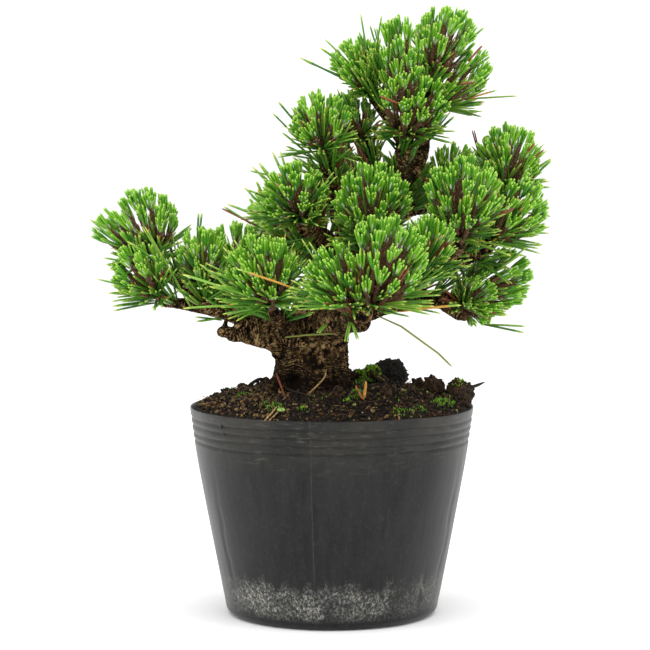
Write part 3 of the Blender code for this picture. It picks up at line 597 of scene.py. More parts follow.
clod_points, clod_faces = ball(3)
clod_forms = []
for clod_x, clod_y, clod_size in CLODS:
    clod = []
    for point in clod_points:
        swell = 1 + CLOD_SWELL * noise.fractal(Vector(point) * 1.7 + Vector((clod_x, clod_y, 0)), 0.8, 2.1, 5)
        clod.append(Vector(point) * clod_size * MM * swell)
    base = Vector((clod_x * MM, clod_y * MM, ground(clod_x * MM, clod_y * MM) + clod_size * CLOD_SEAT * MM))
    clod_forms.append([point + base for point in clod])
clod_forms = np.array(clod_forms)
clod_finish = speckled(principled("peat_clod", (0.03, 0.02, 0.01), 0.9, 0.2)[0], 500,
                       (0.006, 0.004, 0.0028), (0.072, 0.040, 0.020))
clod_slots = np.zeros(len(CLODS) * len(clod_faces))
clod_mesh = joined("soil_clods", clod_forms, clod_faces, clod_slots, [clod_finish])
show("soil_clods", clod_mesh, "soil")

fibre_radius = np.sqrt(rng.uniform(0, 1, FIBRES)) * (SOIL_EDGE - 3 * MM)
fibre_turn = rng.uniform(0, math.tau, FIBRES)
fibre_x, fibre_y = fibre_radius * np.cos(fibre_turn), fibre_radius * np.sin(fibre_turn)
fibre_z = np.array([ground(x, y) for x, y in zip(fibre_x, fibre_y)]) + rng.uniform(-0.2, 0.7, FIBRES) * MM
fibre_way = [rng.normal(size=FIBRES), rng.normal(size=FIBRES), rng.normal(0.12, 0.25, FIBRES)]
fibre_way = unit(np.stack(fibre_way, axis=1))
fibre_profile = ((0.0, 0.6), (0.35, 1.0), (0.7, 0.9))
fibre_form = blades(np.stack([fibre_x, fibre_y, fibre_z], axis=1), fibre_way, rng.normal(size=(FIBRES, 3)),
                    rng.uniform(1.5, 6.0, FIBRES) * MM, rng.uniform(0.2, 0.7, FIBRES) * MM,
                    rng.uniform(0.15, 0.3, FIBRES) * MM, rng.uniform(-0.3, 0.3, FIBRES), fibre_profile, 4)
fibre_faces = blade_faces(len(fibre_profile), 4)
fibre_tint = rng.choice(len(PEAT_COLOURS), FIBRES, p=FIBRE_SHARES)
fibre_slots = np.repeat(fibre_tint, len(fibre_faces))
fibre_mesh = joined("soil_fibres", fibre_form, fibre_faces, fibre_slots, peat_materials())
show("soil_fibres", fibre_mesh, "soil")

# Lumps: a black peat lump behind the trunk and a clod with moss on its crown at the right edge. They came up
# with the root ball and lie loose on the soil, with crumbling overhung edges.
# Each lump's place, radii, darker and lighter colour, and a label, soil or moss.
LUMPS = {
    "peat_lump": ((31.5, 34), (8.8, 8, 8.8), (0.007, 0.006, 0.005), (0.030, 0.026, 0.021), "soil"),
    "moss_lump": ((67.5, -6), (6.6, 6.0, 8.8), (0.008, 0.005, 0.003), (0.060, 0.033, 0.016), "moss"),
}
LUMP_SEAT = 0.4
LUMP_OVERHANG = 0.34
LUMP_SWELL = 0.20
lump_points, lump_faces = ball(5)
for lump_name, (lump_spot, lump_radii, dark, light, lump_slot) in LUMPS.items():
    lump_seed = Vector((lump_spot[0], lump_spot[1], 5.0))
    lump_base = Vector((lump_spot[0] * MM, lump_spot[1] * MM, 0.0))
    lump_base.z = soil_height(lump_base.x, lump_base.y) + lump_radii[2] * LUMP_SEAT * MM
    lump_form = []
    for point in lump_points:
        swell = 1 + LUMP_SWELL * noise.fractal(Vector(point) * 1.5 + lump_seed, 0.9, 2.0, 3)
        swell += LUMP_SWELL * noise.fractal(Vector(point) * 5 + lump_seed, 0.6, 2.2, 5)
        swells = (swell * (1 + LUMP_OVERHANG * point[2]), swell, swell)
        lump_form.append([point[axis] * lump_radii[axis] * MM * swells[axis] + lump_base[axis]
                          for axis in range(3)])
    lump_finish = speckled(principled(lump_name + "_peat", dark, 0.85, 0.3)[0], 600, dark, light)
    lump_slots = np.zeros(len(lump_faces))
    lump_mesh = joined(lump_name + "_form", np.array([lump_form]), lump_faces, lump_slots, [lump_finish])
    show(lump_name + "_form", lump_mesh, lump_slot, lump_name)

# Moss: cushions of short bright stems that have seeded themselves on the damp peat, thickest in front of the
# trunk and at the right rim. Each stem is one small blade.
# Each cushion's place, radius and count of stems.
MOSS_SPOTS = ((-29, -53, 5, 70), (-34, -48, 3, 30), (-47, -16, 4, 40), (13, -42, 4, 70), (14, -30, 5, 90),
              (37, -56, 7, 50), (46, -48, 5, 26), (59, -22, 7, 170), (55, -32, 4, 40), (17, 20, 7, 190),
              (16, 10, 4, 70), (20, 26, 7, 330), (8, -50, 3, 24), (-15, -60, 3, 16), (-55, 18, 5, 40),
              (-25, 48, 8, 120), (30, 55, 6, 70), (0, 60, 5, 50))
MOSS_LUMP_STEMS = 110
# The last green is paler and brighter. It goes to stems raised on clods and lumps as a painted highlight,
# where they stand up into the light.
MOSS_COLOURS = {"moss_bright": (0.17, 0.36, 0.016), "moss_green": (0.080, 0.20, 0.010),
                "moss_deep": (0.022, 0.060, 0.008), "moss_painted_highlight": (0.30, 0.56, 0.020)}
MOSS_SHARES = (0.36, 0.38, 0.26)
MOSS_PAINTED_HIGHLIGHT_SHARE = 0.6
MOSS_PAINTED_HIGHLIGHT_FROM = 2.5 * MM
LONE_STEMS = 520
MOSS_SEED = 23


def perch(x, y):
    """Height of the soil at a place, or of the clod's top that lies there."""
    height = ground(x, y)
    for clod_x, clod_y, clod_size in CLODS:
        away = math.hypot(x / MM - clod_x, y / MM - clod_y)
        if away < clod_size:
            top = clod_size * CLOD_SEAT + math.sqrt(clod_size ** 2 - away ** 2) * 0.92
            height = max(height, ground(clod_x * MM, clod_y * MM) + top * MM)
    return height


rng = np.random.default_rng(MOSS_SEED)
moss_roots, moss_ways = [], []
for spot_x, spot_y, spot_radius, stems in MOSS_SPOTS:
    for _ in range(stems):
        off_x, off_y = rng.normal(0, spot_radius * 0.45, 2)
        x, y = (spot_x + off_x) * MM, (spot_y + off_y) * MM
        if math.hypot(x, y) < SOIL_EDGE - 1 * MM:
            dome = max(0.0, 1 - math.hypot(off_x, off_y) / spot_radius)
            moss_roots.append((x, y, perch(x, y) + dome * 1.6 * MM))
            moss_ways.append((off_x * 0.12, off_y * 0.12, 1.0))
for _ in range(LONE_STEMS):
    reach, lone_turn = math.sqrt(rng.uniform(0, 1)) * (SOIL_EDGE - 2 * MM), rng.uniform(0, math.tau)
    x, y = reach * math.cos(lone_turn), reach * math.sin(lone_turn)
    if noise.noise(Vector((x, y, 0.02)) * 70) > 0.02:
        moss_roots.append((x, y, ground(x, y)))
        moss_ways.append((0.0, 0.0, 1.0))
clod_spot, clod_radii = LUMPS["moss_lump"][:2]
clod_top = soil_height(clod_spot[0] * MM, clod_spot[1] * MM) + clod_radii[2] * LUMP_SEAT * MM
for _ in range(MOSS_LUMP_STEMS):
    lean_x, lean_y = rng.normal(0, 0.42, 2)
    away = Vector((lean_x - 0.15, lean_y, 1.0)).normalized()
    centre = (clod_spot[0] * MM, clod_spot[1] * MM, clod_top)
    moss_roots.append([centre[axis] + away[axis] * clod_radii[axis] * 0.97 * MM for axis in range(3)])
    moss_ways.append(tuple(away))
moss_count = len(moss_roots)
moss_ways = unit(np.array(moss_ways) + rng.normal(0, 0.28, (moss_count, 3)))
moss_profile = ((0.0, 0.7), (0.45, 1.0))
moss_form = blades(np.array(moss_roots), moss_ways, rng.normal(size=(moss_count, 3)),
                   rng.uniform(0.9, 2.4, moss_count) * MM, rng.uniform(0.35, 0.75, moss_count) * MM,
                   rng.uniform(0.25, 0.4, moss_count) * MM, rng.uniform(-0.25, 0.25, moss_count),
                   moss_profile, 4)
moss_faces = blade_faces(len(moss_profile), 4)
moss_tint = rng.choice(3, moss_count, p=MOSS_SHARES)
# Most stems raised above the soil take the paler green as a painted highlight.
moss_high = np.array([root[2] - ground(root[0], root[1]) for root in moss_roots]) > MOSS_PAINTED_HIGHLIGHT_FROM
moss_painted_highlight = moss_high & (rng.uniform(size=moss_count) < MOSS_PAINTED_HIGHLIGHT_SHARE)
moss_tint[moss_painted_highlight] = list(MOSS_COLOURS).index("moss_painted_highlight")
moss_mesh = joined("moss_tufts", moss_form, moss_faces, np.repeat(moss_tint, len(moss_faces)),
                   [principled(name, colour, 0.6, 0.3)[0] for name, colour in MOSS_COLOURS.items()])
show("moss_tufts", moss_mesh, "moss")

# Seed leaf: one small pale weed leaf with its bract, soft and matt. A seedling has dropped it, and it lies
# loose by the dry straws at the front left of the soil.
LEAF_ROOTS = np.array([(-28.0, -62, 115.6), (-26.5, -61, 115.2)]) * MM
LEAF_WAYS = unit(np.array([(0.95, -0.15, -0.05), (-0.35, -0.1, 0.93)]))
LEAF_SIZES = np.array([(4.4, 2.3), (2.6, 1.1)]) * MM
LEAF_FLATS = np.array([(0.1, 0.35, 0.94), (0.8, 0.5, 0.2)])
LEAF_BENDS = np.array([0.08, -0.1])
leaf_profile = ((0.0, 0.2), (0.2, 0.7), (0.45, 1.0), (0.75, 0.8), (0.93, 0.4))
leaf_faces = blade_faces(len(leaf_profile), 6)
leaf_form = blades(LEAF_ROOTS, LEAF_WAYS, LEAF_FLATS, LEAF_SIZES[:, 0], LEAF_SIZES[:, 1],
                   LEAF_SIZES[:, 1] * 0.18, LEAF_BENDS, leaf_profile, 6)
leaf_mesh = joined("seed_leaf", leaf_form, leaf_faces, np.zeros(2 * len(leaf_faces)),
                   [mottled("leaf_pale", (0.20, 0.34, 0.07), 0.6)])
show("seed_leaf", leaf_mesh, "moss")

# Litter: what has fallen on the soil or pokes out of it. Dry needle pairs stand or lie, thin feeder roots
# arch by the trunk, a bark chip lies at the back and a broken twig sticks out of the moss clod.
# Each strand's points, with their heights over the soil, its radius and its colour.
STRANDS = {
    "feeder_root_a": (((-14, -36, 0.5), (-9, -35, 4), (-4, -33, 9), (-3, -32, 13)), 0.45, "straw"),
    "feeder_root_b": (((-24, -30, 4), (-16, -36, 2.5), (-8, -42, 1), (-2, -45, 0)), 0.5, "root_brown"),
    "red_needle": (((-29, -22, 11), (-26, -30, 5), (-24, -38, 0)), 0.55, "dry_red"),
    "dry_pair_a": (((16, -45, 0), (13.8, -45.5, 4), (12.2, -46, 7.4)), 0.55, "dry_rust"),
    "dry_pair_b": (((16, -45, 0), (17, -45, 5), (17.4, -45, 10)), 0.75, "dry_tan"),
    "straw_a": (((-35, -66, 0.6), (-31, -62, 2), (-28, -58, 3.4)), 0.5, "straw"),
    "straw_b": (((-33, -67, 0.6), (-29, -63, 1.6), (-26, -59, 2.4)), 0.45, "straw"),
    "clod_twig": (((66, -7, 8), (71, -8, 10.6), (75, -9, 13), (80.5, -9.5, 18.6)), 1.0, "root_brown"),
    "curled_root": (((-63, 6, -0.5), (-63.5, 5, 1.6), (-61.5, 4, 2.6), (-59.5, 3, 1.4), (-59.5, 3, 0)), 0.6,
                    "root_brown"),
    "bark_chip": (((-45, 26, 1.6), (-42, 26, 3.2), (-39, 25, 3.6), (-36, 25, 2.6)), 1.0, "root_brown"),
    "chip_foot": (((-40, 26, 0), (-40, 26, 1.6), (-39.5, 25, 3.2)), 0.9, "root_brown"),
    "back_root": (((10, 44, 0), (18, 47, 4), (27, 45, 1)), 0.7, "root_brown"),
}
STRAND_COLOURS = {"straw": (0.36, 0.23, 0.09), "root_brown": (0.022, 0.015, 0.010),
                  "dry_red": (0.20, 0.045, 0.025), "dry_tan": (0.62, 0.27, 0.060),
                  "dry_rust": (0.40, 0.14, 0.045)}
STRAND_SIDES = 7


def curve_through(knots, count):
    """Evenly dealt values on a Catmull-Rom curve through rows of numbers."""
    knots = np.asarray(knots, float)
    knots = np.vstack([2 * knots[0] - knots[1], knots, 2 * knots[-1] - knots[-2]])
    values = []
    for place in np.linspace(0, len(knots) - 3, count):
        span = min(int(place), len(knots) - 4)
        t = place - span
        a, b, c, d = knots[span:span + 4]
        square, cube = 2 * a - 5 * b + 4 * c - d, 3 * b - a - 3 * c + d
        values.append((2 * b + (c - a) * t + square * t ** 2 + cube * t ** 3) / 2)
    return np.array(values)


strand_forms, strand_tints = [], []
for strand_points, strand_radius, strand_tint in STRANDS.values():
    knots = [(x * MM, y * MM, soil_height(x * MM, y * MM) + z * MM) for x, y, z in strand_points]
    path = curve_through(knots, 13)
    radii = strand_radius * MM * np.interp(np.linspace(0, 1, 13), (0, 0.2, 0.8, 1), (0.8, 1.0, 0.9, 0.3))
    form, strand_faces = lofted(ring_rows(path, radii, STRAND_SIDES))
    strand_forms.append(form)
    strand_tints.append(list(STRAND_COLOURS).index(strand_tint))
strand_slots = np.repeat(strand_tints, len(strand_faces))
strand_mesh = joined("litter", np.array(strand_forms), strand_faces, strand_slots,
                     [mottled(name, colour, 0.7) for name, colour in STRAND_COLOURS.items()])
show("litter", strand_mesh, "soil")

# Trunk and boughs: one living skin of rough bark over the limbs that the solids give. The limbs are lofted on
# the solids' own curves and grown into one skin, which is broken into plates, fissures and leaf-scar rings.
TRUNK_BENDS = (
    (-11, 0, 115, 22.5),
    (-11, 1, 132, 19.2),
    (-9, 3, 148, 18.0),
    (-3, 6, 165, 14.5),
    (9, 8, 195, 9.5),
    (32, 6, 228, 5.2),
    (39.5, 2, 252, 4.1),
    (52, 0, 283, 2.6),
)
# Each bough's parent and its place along it, its bend, its tip, and its radii at root and tip.
BOUGHS = {
    "bough_left": ("trunk", 0.17, (-54, -4, 163), (-91, -11, 166.5), 8.2, 2.4),
    "bough_stub": ("trunk", 0.14, (-40, -12, 147), (-60, -15, 152), 6.4, 2.4),
    "bough_left_centre": ("trunk", 0.20, (-25, -28, 152), (-31, -44, 165), 7.0, 3.0),
    "bough_front": ("trunk", 0.21, (3, -38, 154), (18, -66, 166), 10.0, 4.6),
    "bough_lower": ("trunk", 0.24, (45, 8, 171), (69, 0, 165), 8.6, 3.4),
    "bough_back_left": ("trunk", 0.33, (-5, 34, 178), (-17, 46, 186), 8.0, 3.4),
    "bough_right": ("trunk", 0.36, (50, 6, 182), (85, -5, 195), 9.0, 3.4),
    "bough_centre_front": ("trunk", 0.40, (14, -19, 188), (21, -27, 197), 6.5, 3.4),
    "bough_shoulder_left": ("trunk", 0.42, (-6, -9, 203), (-18, -17, 206), 8.0, 3.4),
    "bough_shoulder_low": ("trunk", 0.47, (1, 15, 208), (-1, 9, 222), 4.2, 2.6),
    "bough_back_high": ("trunk", 0.51, (20, 28, 208), (25, 34, 218), 6.0, 3.2),
    "bough_upper_outer": ("trunk", 0.54, (3, -1, 220), (-5, -4, 243), 5.0, 2.6),
    "bough_upper_inner": ("trunk", 0.60, (26, 9, 240), (16, 6, 249), 3.4, 2.4),
    "bough_right_crest": ("trunk", 0.55, (48, 16, 214), (61, 18, 220), 4.6, 2.8),
    "bough_apex_back": ("trunk", 0.61, (58, 14, 236), (46, 17, 273), 4.2, 2.6),
    "bough_apex_left": ("trunk", 0.81, (30, 5, 264), (20, 5, 274), 3.6, 2.4),
    "bough_right_front": ("bough_right", 0.60, (62, -22, 188), (67, -32, 199), 4.8, 2.8),
    "bough_right_top": ("bough_right", 0.88, (87, 3, 206), (92, 4, 223), 4.0, 2.6),
    "bough_back_right": ("bough_right", 0.32, (45, 32, 187), (65, 46, 195), 6.0, 3.4),
    "bough_right_inner": ("bough_front", 0.78, (36, -58, 168), (47, -45, 182), 4.6, 2.6),
    "bough_left_high": ("bough_left", 0.62, (-78, -3, 174), (-96, 2, 186), 3.6, 2.8),
    "bough_left_small": ("bough_left", 0.66, (-70, -11, 166), (-67, -8, 172), 3.0, 2.2),
    "bough_left_mid": ("bough_left", 0.44, (-48, 4, 163), (-51, 4, 173), 3.4, 2.2),
}
# Short growths on the limbs, as points with radii: the stub's knob and twig, root lobe, webs and swellings.
SPURS = {
    "stub_knob": ((-55, -14, 150, 2.4), (-57.5, -15, 150.8, 2.9), (-60, -15, 151.2, 2.4)),
    "stub_twig": ((-53, -14, 149, 2.0), (-55.5, -14.5, 151, 1.6), (-56, -14, 154, 1.3),
                  (-55, -12, 157.5, 1.3), (-51, -9, 160.5, 1.6)),
    "root_lobe": ((-22, -5, 143, 4.5), (-24, -7, 132, 4.5), (-28, -9, 122.5, 5.3), (-33, -11, 114, 6.2)),
    "stub_web": ((-38, -10, 153, 5), (-43, -11, 152.5, 4), (-48, -12.5, 154.5, 3.0), (-51, -12, 157.5, 2.6)),
    "stub_hump": ((-45, -13, 150, 3.6), (-50, -14, 148.6, 3.3), (-55.5, -14, 148.8, 2.8)),
    "lower_knob": ((58, 0, 167, 4.8), (63.5, -4, 163, 4.6), (68, -8, 159.5, 3.8), (71, -10, 157, 2.6)),
    "crotch": ((-30, -9, 147, 5), (-28, -7, 141, 4.5), (-26, -6, 135, 4.5)),
    "collar": ((-26, -16, 152, 5), (-20, -19, 149, 6), (-12, -19, 146, 5)),
    "burl": ((6, -16, 156.5, 6), (12, -18, 155.5, 4.9), (16, -19, 155.5, 4.2), (20, -20, 157.5, 3.4)),
}
TRUNK_RINGS = 15
BOUGH_RINGS = 5
TAPER = 0.75
CROOK = 0.16
GROUND_LEVEL = 115 * MM
FLARE_LOBES = 5
FLARE_TURN = 0.9
FLARE_REACH = 9 * MM
FLARE_DEPTH = 0.16
SKIN_GRAIN = 0.75 * MM
SKIN_SMOOTHING = 4
# The hollow's centre, radius and depth. Its colour is also darkened, as painted shade in the recess.
HOLLOW = (Vector((-22, -18, 125)) * MM, 5.0 * MM, 6.5 * MM)
# Heights over which the bark grows darker towards the foot of the trunk, and the darkest colour there.
FOOT_DARKENING_SPAN = (123 * MM, 147 * MM)
BARK_RING = 1.3
BARK_SEED = 5
# Bark colours from fissure to crest, kept dark: partly the bark's own tones, partly painted shade in the
# fissures and under the crown, and painted light on the crests.
BARK_STOPS = ((0.18, (0.002, 0.0012, 0.0008)), (0.40, (0.022, 0.012, 0.0050)), (0.62, (0.125, 0.072, 0.027)),
              (1.00, (0.47, 0.31, 0.145)))
ALGAE_GREEN = (0.050, 0.054, 0.022)
FOOT_DARK_COLOUR = (0.007, 0.004, 0.0028)


def along(points, radii, fraction):
    """Point and direction at a fraction of a path's length."""
    lengths = np.linalg.norm(np.diff(points, axis=0), axis=1)
    left = fraction * lengths.sum()
    for i, length in enumerate(lengths):
        if left <= length or i == len(lengths) - 1:
            t = min(left / length, 1.0)
            way = (points[i + 1] - points[i]) / length
            radius = radii[i] + (radii[i + 1] - radii[i]) * t
            return points[i] + (points[i + 1] - points[i]) * t, radius, way
        left -= length


def bough_line(name, parent, fraction, bend, tip, root_radius, tip_radius):
    """A crooked tapering line from the parent's axis, drawn from the same seed as the solid's."""
    seeded = random.Random(name)
    root = along(*limbs[parent], fraction)[0]
    bend, tip = np.array(bend) * MM, np.array(tip) * MM
    points, radii = [], []
    for ring in range(BOUGH_RINGS):
        t = ring / (BOUGH_RINGS - 1)
        point = root * (1 - t) ** 2 + bend * 2 * t * (1 - t) + tip * t ** 2
        radius = (root_radius + (tip_radius - root_radius) * t ** TAPER) * MM
        if 0 < ring < BOUGH_RINGS - 1:
            point = point + np.array([seeded.uniform(-1, 1) for _ in range(3)]) * radius * CROOK
            radius *= 1 + seeded.uniform(-0.5, 1) * CROOK
        points.append(point)
        radii.append(radius)
    return drawn_back(np.array(points), np.array(radii))


def drawn_back(points, radii):
    """The line with its end drawn back by its last radius, where the round tip starts."""
    way = unit(points[-1] - points[-2])
    points[-1] = points[-1] - way * radii[-1]
    return points, radii


trunk_line = curve_through(np.array(TRUNK_BENDS) * MM, TRUNK_RINGS)
limbs = {"trunk": drawn_back(trunk_line[:, :3], trunk_line[:, 3])}
for bough_name, (parent, *shape) in BOUGHS.items():
    limbs[bough_name] = bough_line(bough_name, parent, *shape)

grown_lines = dict(limbs)
for spur_name, spur_points in SPURS.items():
    spur = np.array(spur_points) * MM
    grown_lines[spur_name] = drawn_back(spur[:, :3], spur[:, 3])
limb_points, limb_faces, axis_samples = [], [], []
for limb_number, (limb_name, (line, line_radii)) in enumerate(grown_lines.items()):
    steps = 140 if limb_name == "trunk" else 44
    fine = curve_through(np.column_stack([line, line_radii]), steps)
    centres, radii = fine[:, :3], fine[:, 3]
    way = unit(centres[-1] - centres[-2])
    round_turns = np.radians((25, 50, 70, 84))
    tip_centres = centres[-1] + np.outer(radii[-1] * np.sin(round_turns), way)
    rows = ring_rows(np.vstack([centres, tip_centres]), [*radii, *(radii[-1] * np.cos(round_turns))], 48)
    points, faces = lofted(rows)
    if limb_name == "trunk":
        for point in points:
            height = max(point[2] - GROUND_LEVEL, 0.0)
            near = centres[np.abs(centres[:, 2] - point[2]).argmin()]
            turn = math.atan2(point[1] - near[1], point[0] - near[0])
            lobes = math.exp(-height / FLARE_REACH) * math.cos(FLARE_LOBES * turn + FLARE_TURN)
            point[:2] = near[:2] + (point[:2] - near[:2]) * (1 + FLARE_DEPTH * lobes)
    start = sum(len(p) for p in limb_points)
    limb_faces += [tuple(start + corner for corner in face) for face in faces]
    limb_points.append(points)
    lengths = np.concatenate([[0], np.cumsum(np.linalg.norm(np.diff(centres, axis=0), axis=1))])
    parent = BOUGHS[limb_name][0] if limb_name in BOUGHS else None
    for centre, radius, length, direction in zip(centres, radii, lengths, unit(np.gradient(centres, axis=0))):
        if parent is not None:
            gaps = np.linalg.norm(limbs[parent][0] - centre, axis=1)
            if gaps.min() < limbs[parent][1][gaps.argmin()]:
                continue
        axis_samples.append((centre, radius, length, direction, limb_number))

skin = placed("bark_skin", formed("bark_skin", np.concatenate(limb_points), limb_faces))
grown = skin.modifiers.new("grown", "REMESH")
grown.mode = "VOXEL"
grown.voxel_size = SKIN_GRAIN
eased = skin.modifiers.new("eased", "SMOOTH")
eased.factor = 0.5
eased.iterations = SKIN_SMOOTHING
bpy.context.view_layer.update()
skin_mesh = bpy.data.meshes.new_from_object(skin.evaluated_get(bpy.context.evaluated_depsgraph_get()))
bpy.data.objects.remove(skin)

axis_tree = kdtree.KDTree(len(axis_samples))
for number, sample in enumerate(axis_samples):
    axis_tree.insert(Vector(sample[0]), number)
axis_tree.balance()
relief_and_painted_shade_values = np.zeros(len(skin_mesh.vertices), np.float32)
moved = np.zeros((len(skin_mesh.vertices), 3), np.float32)
lengthwise_place = np.zeros(len(skin_mesh.vertices), np.float32)
noise.seed_set(BARK_SEED)
for number, vertex in enumerate(skin_mesh.vertices):
    sample = axis_samples[axis_tree.find(vertex.co)[1]]
    radius, length, direction, limb_number = sample[1], sample[2], Vector(sample[3]), sample[4]
    out = vertex.co - Vector(sample[0])
    out = (out - direction * out.dot(direction)).normalized()
    thick = min(1.0, max(0.0, (radius / MM - 4) / 9))
    around, lengthwise = 0.30 - 0.08 * thick, 0.57 - 0.15 * thick
    place = (out * radius * around + direction * length * lengthwise) / MM + Vector((0, 0, limb_number * 9.7))
    place += noise.noise_vector(vertex.co * 85) * 1.5
    plate = min(1.0, abs(noise.noise(place)) * 2.6) * 0.6
    plate += min(1.0, abs(noise.noise(place * 2.6)) * 2.8) * 0.4
    rough = noise.fractal(vertex.co * 420, 0.8, 2.1, 4)
    sway = noise.noise_vector(vertex.co * 130)
    ring_place = length / MM * (0.52 - 0.12 * thick) + sway.x * 0.9 + out.dot(Vector((1, 1, 1))) * 0.25
    wrinkle = 1 - 2 * abs(2 * (ring_place % 1) - 1)
    wrinkle *= 0.35 + 0.65 * abs(sway.y) * 1.6
    burl = noise.noise(vertex.co * 75 + Vector((limb_number, 0, 0)))
    depth = 0.80 * (plate - 0.55) + 0.55 * rough + 0.50 * wrinkle + 0.5 * burl * thick
    lift = depth * (0.40 + 1.15 * thick) * MM * min(1.0, radius / (3 * MM))
    hole = (vertex.co - HOLLOW[0]).length / HOLLOW[1]
    lift -= HOLLOW[2] * math.exp(-hole ** 2)
    blotch = noise.noise(vertex.co * 48 + Vector((3, 9, 1)))
    # The colour key is the relief with broad random blotches, darkened further in the hollow as painted
    # shade.
    relief_and_painted_shade_values[number] = depth - 1.2 * math.exp(-hole ** 2) + 0.6 * blotch
    lengthwise_place[number] = length / MM + sway.x * 1.6 + burl * 1.0
    moved[number] = vertex.co + vertex.normal * lift
skin_mesh.vertices.foreach_set("co", moved.ravel())
relief_with_painted_shade = skin_mesh.attributes.new("relief_with_painted_shade", "FLOAT", "POINT")
relief_with_painted_shade.data.foreach_set("value", relief_and_painted_shade_values)
rings_at = skin_mesh.attributes.new("rings", "FLOAT", "POINT")
rings_at.data.foreach_set("value", lengthwise_place)
skin_mesh.update()
skin_mesh.shade_smooth()


def bark_material():
    """Old pine bark: dark fissures, brown flanks and dry grey-tan crests, mottled with green-grey algae. The
    colour follows the relief: partly the bark's own, partly painted shade in the fissures and painted light
    on the crests.
    """
    material, shader = principled("pine_bark", (0.16, 0.10, 0.06), 0.92, 0.08)
    tree = material.node_tree
    place = added(tree, "ShaderNodeTexCoord").outputs["Object"]
    height = added(tree, "ShaderNodeAttribute", attribute_name="relief_with_painted_shade").outputs["Fac"]
    along_limb = added(tree, "ShaderNodeAttribute", attribute_name="rings").outputs["Fac"]
    grain = added(tree, "ShaderNodeTexNoise", [("Vector", place)], Scale=950, Detail=6).outputs["Fac"]
    strained = figured(tree, "MULTIPLY_ADD", grain, 1.3, along_limb)
    ringed = figured(tree, "SINE", figured(tree, "MULTIPLY", strained, math.tau / BARK_RING))
    crisp = spanned(tree, grain, 0.2, 0.8, 0.02, 0.90, clamp=False)
    fine = figured(tree, "MULTIPLY_ADD", ringed, 0.20, crisp)
    # The relief sets the colour, so fissures go dark and crests pale: partly real, partly painted shade and
    # painted light.
    bark = ramp(tree, figured(tree, "MULTIPLY_ADD", height, 0.52, fine), *BARK_STOPS)
    algae = added(tree, "ShaderNodeTexNoise", [("Vector", place)], Scale=95, Detail=4).outputs["Fac"]
    bark = mixed(tree, spanned(tree, algae, 0.52, 0.75, 0.0, 0.35), bark, ALGAE_GREEN)
    split = added(tree, "ShaderNodeSeparateXYZ", [("Vector", place)])
    # The bark is made darker towards the foot of the trunk.
    foot_darkening = spanned(tree, split.outputs["Z"], *FOOT_DARKENING_SPAN, 0.82, 0.0)
    tree.links.new(mixed(tree, foot_darkening, bark, FOOT_DARK_COLOUR), shader.inputs["Base Color"])
    bump = added(tree, "ShaderNodeBump", [("Height", fine)], Strength=0.8, Distance=0.0009)
    tree.links.new(bump.outputs["Normal"], shader.inputs["Normal"])
    return material


skin_mesh.materials.clear()
skin_mesh.materials.append(bark_material())
show("bark_skin", skin_mesh, "bark", *limbs)

